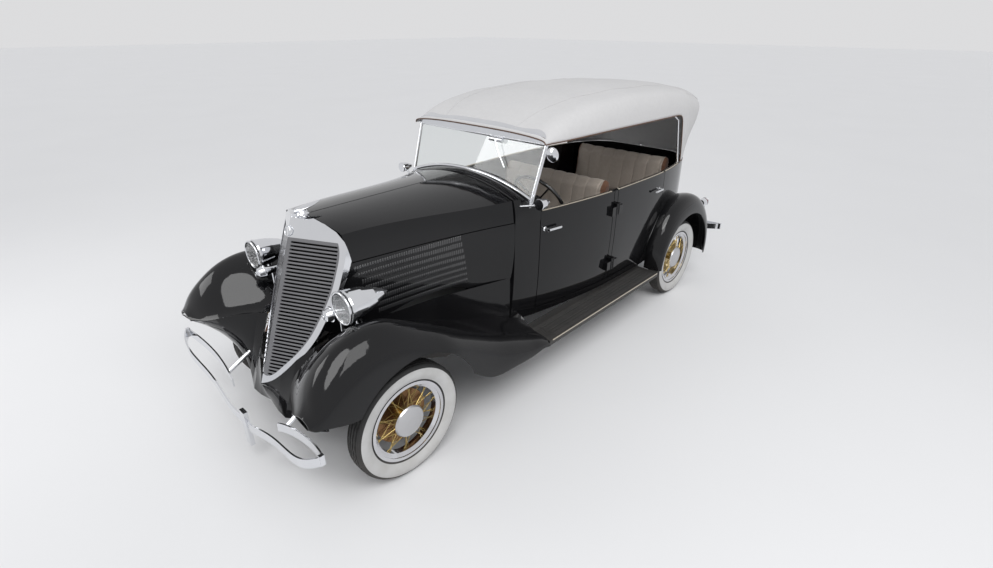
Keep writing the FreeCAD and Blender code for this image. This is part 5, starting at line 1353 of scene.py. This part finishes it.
@dataclass
class DoorTrim:
    """Bright handles and the rails along the door tops, each on its own door."""

    rail_read_z: float = 1.238
    rail_z: float = 1.2512
    rail_inset: float = 0.017
    rail_half_sizes: tuple = (0.0125, 0.0068)
    quarter_ends: tuple = (1.140, 1.500)
    handle_z: float = 1.117
    lever_inset: float = 0.008
    lever_radius: float = 0.0096
    foot_inset: float = 0.036

    DOORS = (DoorSpan("front", -0.425, 0.330, -0.405, -0.285), DoorSpan("rear", 0.370, 1.108, 1.050, 0.930))
    FOOT = ((0.0, 0.0), (0.0, 0.019), (0.004, 0.017), (0.007, 0.0125), (0.034, 0.0122), (0.036, 0.0))

    def build(self, paint: Paintbox) -> None:
        """Fit the trim of the four doors and the rails behind them.

        Args:
            paint: the finishes.
        """
        for side in Side:
            for span in self.DOORS:
                door = f"door_{span.place}_{side.word}"
                tree = tree_of(door)
                rail = self.rail(f"rail_{door}", tree, side, (span.start, span.end), paint)
                handle = self.handle(f"grip_{door}", tree, side, span, paint)
                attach(rail, door)
                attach(handle, door)
            rail = self.rail(f"rail_rear_{side.word}", tree_of("body_tub"), side, self.quarter_ends, paint)
            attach(rail, CHASSIS)

    def line_on(self, tree: BVHTree, side: Side, ys: Array, read_z: float, inset: float, z: float) -> Array:
        """Points that follow a panel's outer face, set inward and at their own height."""
        met = [(y, from_side(tree, side, y, read_z)) for y in ys]
        return np.array([[found[0][0] - side.value * inset, y, z] for y, found in met if found])

    def rail(self, name: str, tree: BVHTree, side: Side, ends: tuple, paint: Paintbox) -> bpy.types.Object:
        """A low half-round rail on top of a panel."""
        along = np.linspace(*ends, 24)
        line = self.line_on(tree, side, along, self.rail_read_z, self.rail_inset, self.rail_z)
        profile = circle(1.0, 14) * self.rail_half_sizes
        return make_object(name, sweep(line, profile), paint.get("rail"), RAIL_ANGLE)

    def handle(self, name: str, tree: BVHTree, side: Side, span: DoorSpan,
               paint: Paintbox) -> bpy.types.Object:
        """A bright lever over the plain one, with a round plate at its foot."""
        ys = np.linspace(span.grip, span.tip, 14)
        line = self.line_on(tree, side, ys, self.handle_z, self.lever_inset, self.handle_z)
        lever = sweep(line, circle(self.lever_radius, 14))
        centre = np.array([line[0][0] - side.value * self.foot_inset, span.grip, self.handle_z])
        foot = turned(self.FOOT, centre, (side.value, 0, 0), 24)
        return make_object(name, joined([lever, foot]), paint.get("chrome"), METAL_ANGLE)


@dataclass
class Lamps:
    """Fluted glasses, bright rims and red rear glasses."""

    head: tuple = (0.510, -1.9595, 1.075)
    rear: tuple = (0.700, 2.1285, 0.760)
    rear_rim: tuple = (0.700, 2.130, 0.760)
    horn: tuple = (0.389, -2.008, 0.996)
    cowl: tuple = (0.704, -0.602, 1.357)

    DOME = ((-0.0125, 0.0), (-0.0125, 0.085), (0.0, 0.085), (0.004, 0.078), (0.009, 0.056), (0.012, 0.028),
            (0.013, 0.0))
    BOWL = ((-0.0133, 0.0), (-0.0133, 0.083), (-0.0129, 0.083), (-0.0129, 0.0))
    RED = ((0.0, 0.0), (0.0, 0.034), (0.006, 0.031), (0.011, 0.020), (0.013, 0.0))

    def build(self, paint: Paintbox) -> None:
        """Fit the glasses and rims of all lamps.

        Args:
            paint: the finishes.
        """
        domes, rims, bowls, reds = [], [], [], []
        for side in Side:
            across = np.array([side.value, 1.0, 1.0])
            head, rear, rear_rim, horn, cowl = (across * spot for spot in
                                                (self.head, self.rear, self.rear_rim, self.horn, self.cowl))
            domes.append(turned(self.DOME, head, FORWARD, 48))
            bowls.append(turned(self.BOWL, head, FORWARD, 40))
            reds.append(turned(self.RED, rear, REARWARD, 32))
            rims += [ring_at(head, FORWARD, 0.0875, 0.0062), ring_at(rear_rim, REARWARD, 0.037, 0.004),
                     ring_at(horn, FORWARD, 0.012, 0.002), ring_at(cowl, FORWARD, 0.031, 0.0035)]
        glass = make_object("lamp_glasses", joined(domes), paint.get("lens"), TRIM_ANGLE)
        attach(glass, CHASSIS)
        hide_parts("lamp_lenses")
        for name, shapes, key in (("lamp_rims", rims, "chrome"), ("lamp_bowls", bowls, "satin"),
                                  ("rear_glasses", reds, "lamp_red")):
            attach(make_object(name, joined(shapes), paint.get(key), TRIM_ANGLE), CHASSIS)


@dataclass
class NoseTrim:
    """The bare ring, the plain cap and the swept wing on top of the radiator shell."""

    cap_y: float = -1.838
    overhead: float = 1.8
    sink: float = 0.003
    wing_steps: int = 22
    wing_sides: int = 20
    wing_start: tuple = (-0.045, 0.030)
    wing_reach: tuple = (0.165, 0.028)
    ring_read: tuple = (0.0, -3.0, 1.362)
    ring_facing: tuple = (0.0, -0.94, 0.34)
    ring_radius: float = 0.027
    ring_wire: float = 0.0032
    ring_stand: float = 0.004

    CAP = ((0, 0), (0, 0.040), (0.006, 0.040), (0.010, 0.034), (0.022, 0.031), (0.030, 0.024), (0.034, 0.012),
           (0.035, 0))

    def build(self, paint: Paintbox) -> None:
        """Stand the pieces on the shell.

        Args:
            paint: the finishes.
        """
        tree = tree_of("radiator_shell")
        top, _ = meet(tree, (0.0, self.cap_y, self.overhead), DOWNWARD)
        base = top - np.array([0, 0, self.sink])
        front, _ = meet(tree, self.ring_read, REARWARD)
        facing = np.array(self.ring_facing)
        ring = ring_at(front + facing * self.ring_stand, facing, self.ring_radius, self.ring_wire)
        cap = turned(self.CAP, base, UPWARD, 40)
        surface = joined([cap, self.wing(base), ring])
        piece = make_object("nose_trim", surface, paint.get("chrome"), TRIM_ANGLE)
        recalculated(piece)
        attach(piece, CHASSIS)

    def wing(self, base: Array) -> Surface:
        """A flat blade swept back from the cap, widest near its middle."""
        sections = []
        for share in np.linspace(0, 1, self.wing_steps):
            width = 0.002 + 0.026 * math.sin(math.pi * min(1.0, share * 0.9 + 0.08)) ** 0.8
            height = 0.002 + 0.011 * (1 - share) ** 0.7 * min(1.0, share * 6 + 0.25)
            back = self.wing_start[0] + self.wing_reach[0] * share
            rise = self.wing_start[1] + self.wing_reach[1] * share ** 1.4
            ring = circle(1.0, self.wing_sides) * [width, height]
            flat = np.column_stack([ring[:, 0], np.zeros(self.wing_sides), ring[:, 1]])
            sections.append(base + np.array([0, back, rise]) + flat)
        return grid(np.array(sections), close_v=True, cap_u=True)


@dataclass
class CabTrim:
    """Bare dials on the instrument board, the mirror and the wiper with its motor."""

    dials: tuple = ((0.0, 1.29, 0.052), (0.125, 1.285, 0.036), (-0.125, 1.285, 0.036))
    dial_wire: float = 0.0035
    dial_stand: float = 0.002
    dial_depth: float = 0.0015
    board_y: float = -0.40
    behind: float = 0.4
    mirror: tuple = (0.690, -0.472, 1.650)
    motor: tuple = (0.202, -0.466, 1.682)

    ARM = ((0.618, -0.452, 1.640), (0.650, -0.462, 1.648), (0.676, -0.470, 1.650))
    MIRROR = ((-0.012, 0), (-0.010, 0.030), (0.0, 0.047), (0.004, 0.047), (0.004, 0))
    MOTOR = ((-0.06, 0), (-0.058, 0.016), (0.058, 0.016), (0.06, 0))
    BLADE = ((0.202, -0.480, 1.680), (0.26, -0.505, 1.60), (0.33, -0.527, 1.52))

    def build(self, paint: Paintbox) -> None:
        """Fit the small cab pieces.

        Args:
            paint: the finishes.
        """
        self.gauges(paint)
        arm = sweep(np.array(self.ARM), circle(0.004, 10))
        glass = turned(self.MIRROR, self.mirror, REARWARD, 36)
        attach(make_object("side_mirror", joined([arm, glass]), paint.get("chrome"), METAL_ANGLE), CHASSIS)
        motor = turned(self.MOTOR, self.motor, (1, 0, 0), 24)
        blade = sweep(np.array(self.BLADE), circle(0.0032, 8))
        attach(make_object("wiper", joined([motor, blade]), paint.get("chrome"), METAL_ANGLE), CHASSIS)

    def gauges(self, paint: Paintbox) -> None:
        """Rims and plain faces wherever the board is behind a dial's place."""
        tree = tree_of("dashboard")
        rims, faces = [], []
        for x, z, radius in self.dials:
            found = meet(tree, (x, self.behind, z), FORWARD)
            if found and found[0][1] < self.board_y:
                disc = ((0, 0), (0, radius), (self.dial_depth, radius), (self.dial_depth, 0))
                stand = np.array([0, self.dial_stand, 0])
                rims.append(ring_at(found[0] + stand, REARWARD, radius, self.dial_wire))
                faces.append(turned(disc, found[0], REARWARD, 40))
        if rims:
            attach(make_object("dial_rims", joined(rims), paint.get("chrome"), TRIM_ANGLE), CHASSIS)
            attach(make_object("dial_faces", joined(faces), paint.get("wheel_black"), TRIM_ANGLE), CHASSIS)


# Studio

@dataclass(frozen=True)
class SoftLamp:
    """A square lamp: where it stands, what it faces, its side in metres and its power in watts."""

    name: str
    place: tuple
    target: tuple
    size: float
    watts: float


@dataclass
class Studio:
    """Pale floor, plain soft lights and the camera at the photograph's angle."""

    location: tuple = (2.720, -3.160, 2.399)
    yaw: float = 43.0
    pitch: float = 26.3
    roll: float = -0.2
    lens: float = 19.21
    sensor: float = 36.0
    floor_half: float = 70.0
    sun_energy: float = 1.5
    sun_angle: float = 35.0
    sun_place: tuple = (3.0, -2.5, 6.0)
    world_light: tuple = rgb(0.55, 0.56, 0.58)
    world_seen: tuple = rgb(0.80, 0.80, 0.81)
    world_strength: float = 0.9

    LAMPS = (SoftLamp("left", (4.2, -1.5, 4.2), (0, 0, 0.9), 2.4, 70.0),
             SoftLamp("front", (-3.2, -5.2, 3.6), (0, -1.4, 0.8), 2.2, 55.0))

    def build(self) -> None:
        """Set the floor, the world, the lamps and the camera."""
        self.floor()
        self.world()
        self.lamps()
        self.camera()
        bpy.context.scene.view_settings.view_transform = "Standard"

    def floor(self) -> None:
        """A wide pale floor with a little variation."""
        finish = Finish("studio_floor", rgb(0.76, 0.76, 0.765), rgb(0.73, 0.73, 0.735), 0.7, bump=0.0,
                        broad_scale=0.6)
        half = self.floor_half
        points = np.array([[-half, -half, 0.0], [half, -half, 0.0], [half, half, 0.0], [-half, half, 0.0]])
        surface = Surface(points, np.array([[0, 1, 2, 3]]))
        plane = make_object("studio_floor", surface, finish.build(Effects()))

    def world(self) -> None:
        """Even light, and a pale ground for what looks or reflects into it."""
        world = bpy.data.worlds.new("studio_world")
        bpy.context.scene.world = world
        world.use_nodes = True
        g = Graph(world.node_tree)
        back = world.node_tree.nodes["Background"]
        path = g.node("LightPath")
        mirrored = g.math("MAXIMUM", path.outputs["Is Glossy Ray"], path.outputs["Is Transmission Ray"])
        seen = g.math("MAXIMUM", path.outputs["Is Camera Ray"], mirrored)
        g.put(back.inputs["Color"], g.mix(seen, self.world_light, self.world_seen))
        back.inputs["Strength"].default_value = self.world_strength

    def lamps(self) -> None:
        """One wide soft sun for an even floor, and two large soft lamps for the streaks on the paint."""
        sun = bpy.data.lights.new("soft_sun", "SUN")
        sun.energy = self.sun_energy
        sun.angle = math.radians(self.sun_angle)
        self.aim(sun, self.sun_place, (0, 0, 0))
        for lamp in self.LAMPS:
            light = bpy.data.lights.new(lamp.name, "AREA")
            light.shape = "SQUARE"
            light.size = lamp.size
            light.energy = lamp.watts
            self.aim(light, lamp.place, lamp.target)

    def aim(self, light: bpy.types.Light, place: Sequence[float], target: Sequence[float]) -> None:
        """Put a lamp at a place, facing a target."""
        lamp = bpy.data.objects.new(light.name, light)
        ahead = Vector(target) - Vector(place)
        turn = ahead.to_track_quat("-Z", "Y").to_matrix().to_4x4()
        lamp.matrix_world = Matrix.Translation(place) @ turn
        bpy.context.scene.collection.objects.link(lamp)

    def camera(self) -> None:
        """The photograph's camera."""
        yaw, pitch, roll = (math.radians(a) for a in (self.yaw, self.pitch, self.roll))
        level = Vector((-math.sin(yaw), math.cos(yaw), 0.0)) * math.cos(pitch)
        ahead = level - Vector((0.0, 0.0, math.sin(pitch)))
        right = Vector((math.cos(yaw), math.sin(yaw), 0.0))
        up = right.cross(ahead)
        turn = Matrix.Rotation(roll, 3, ahead)
        right, up = turn @ right, turn @ up
        data = bpy.data.cameras.new("photo_camera")
        data.lens = self.lens
        data.sensor_width = self.sensor
        data.clip_end = 300.0
        camera = bpy.data.objects.new("photo_camera", data)
        basis = Matrix((right, up, -ahead)).transposed().to_4x4()
        camera.matrix_world = Matrix.Translation(self.location) @ basis
        bpy.context.scene.collection.objects.link(camera)
        bpy.context.scene.camera = camera


def main() -> None:
    """Dress the frame, add every sub-assembly and set the studio."""
    logging.basicConfig(level=logging.INFO, format="%(name)s: %(message)s")
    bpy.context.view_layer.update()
    paint = Paintbox()
    dress_frame(paint)
    parts = [Tyre(corner) for corner in CORNERS]
    parts += [CanvasTop(), *BENCHES, Louvres(), BoardTrim(), DoorTrim(), Lamps(), NoseTrim(), CabTrim()]
    for part in parts:
        part.build(paint)
        log.info("built %s", type(part).__name__)
    Studio().build()


if __name__ == "__main__":
    main()
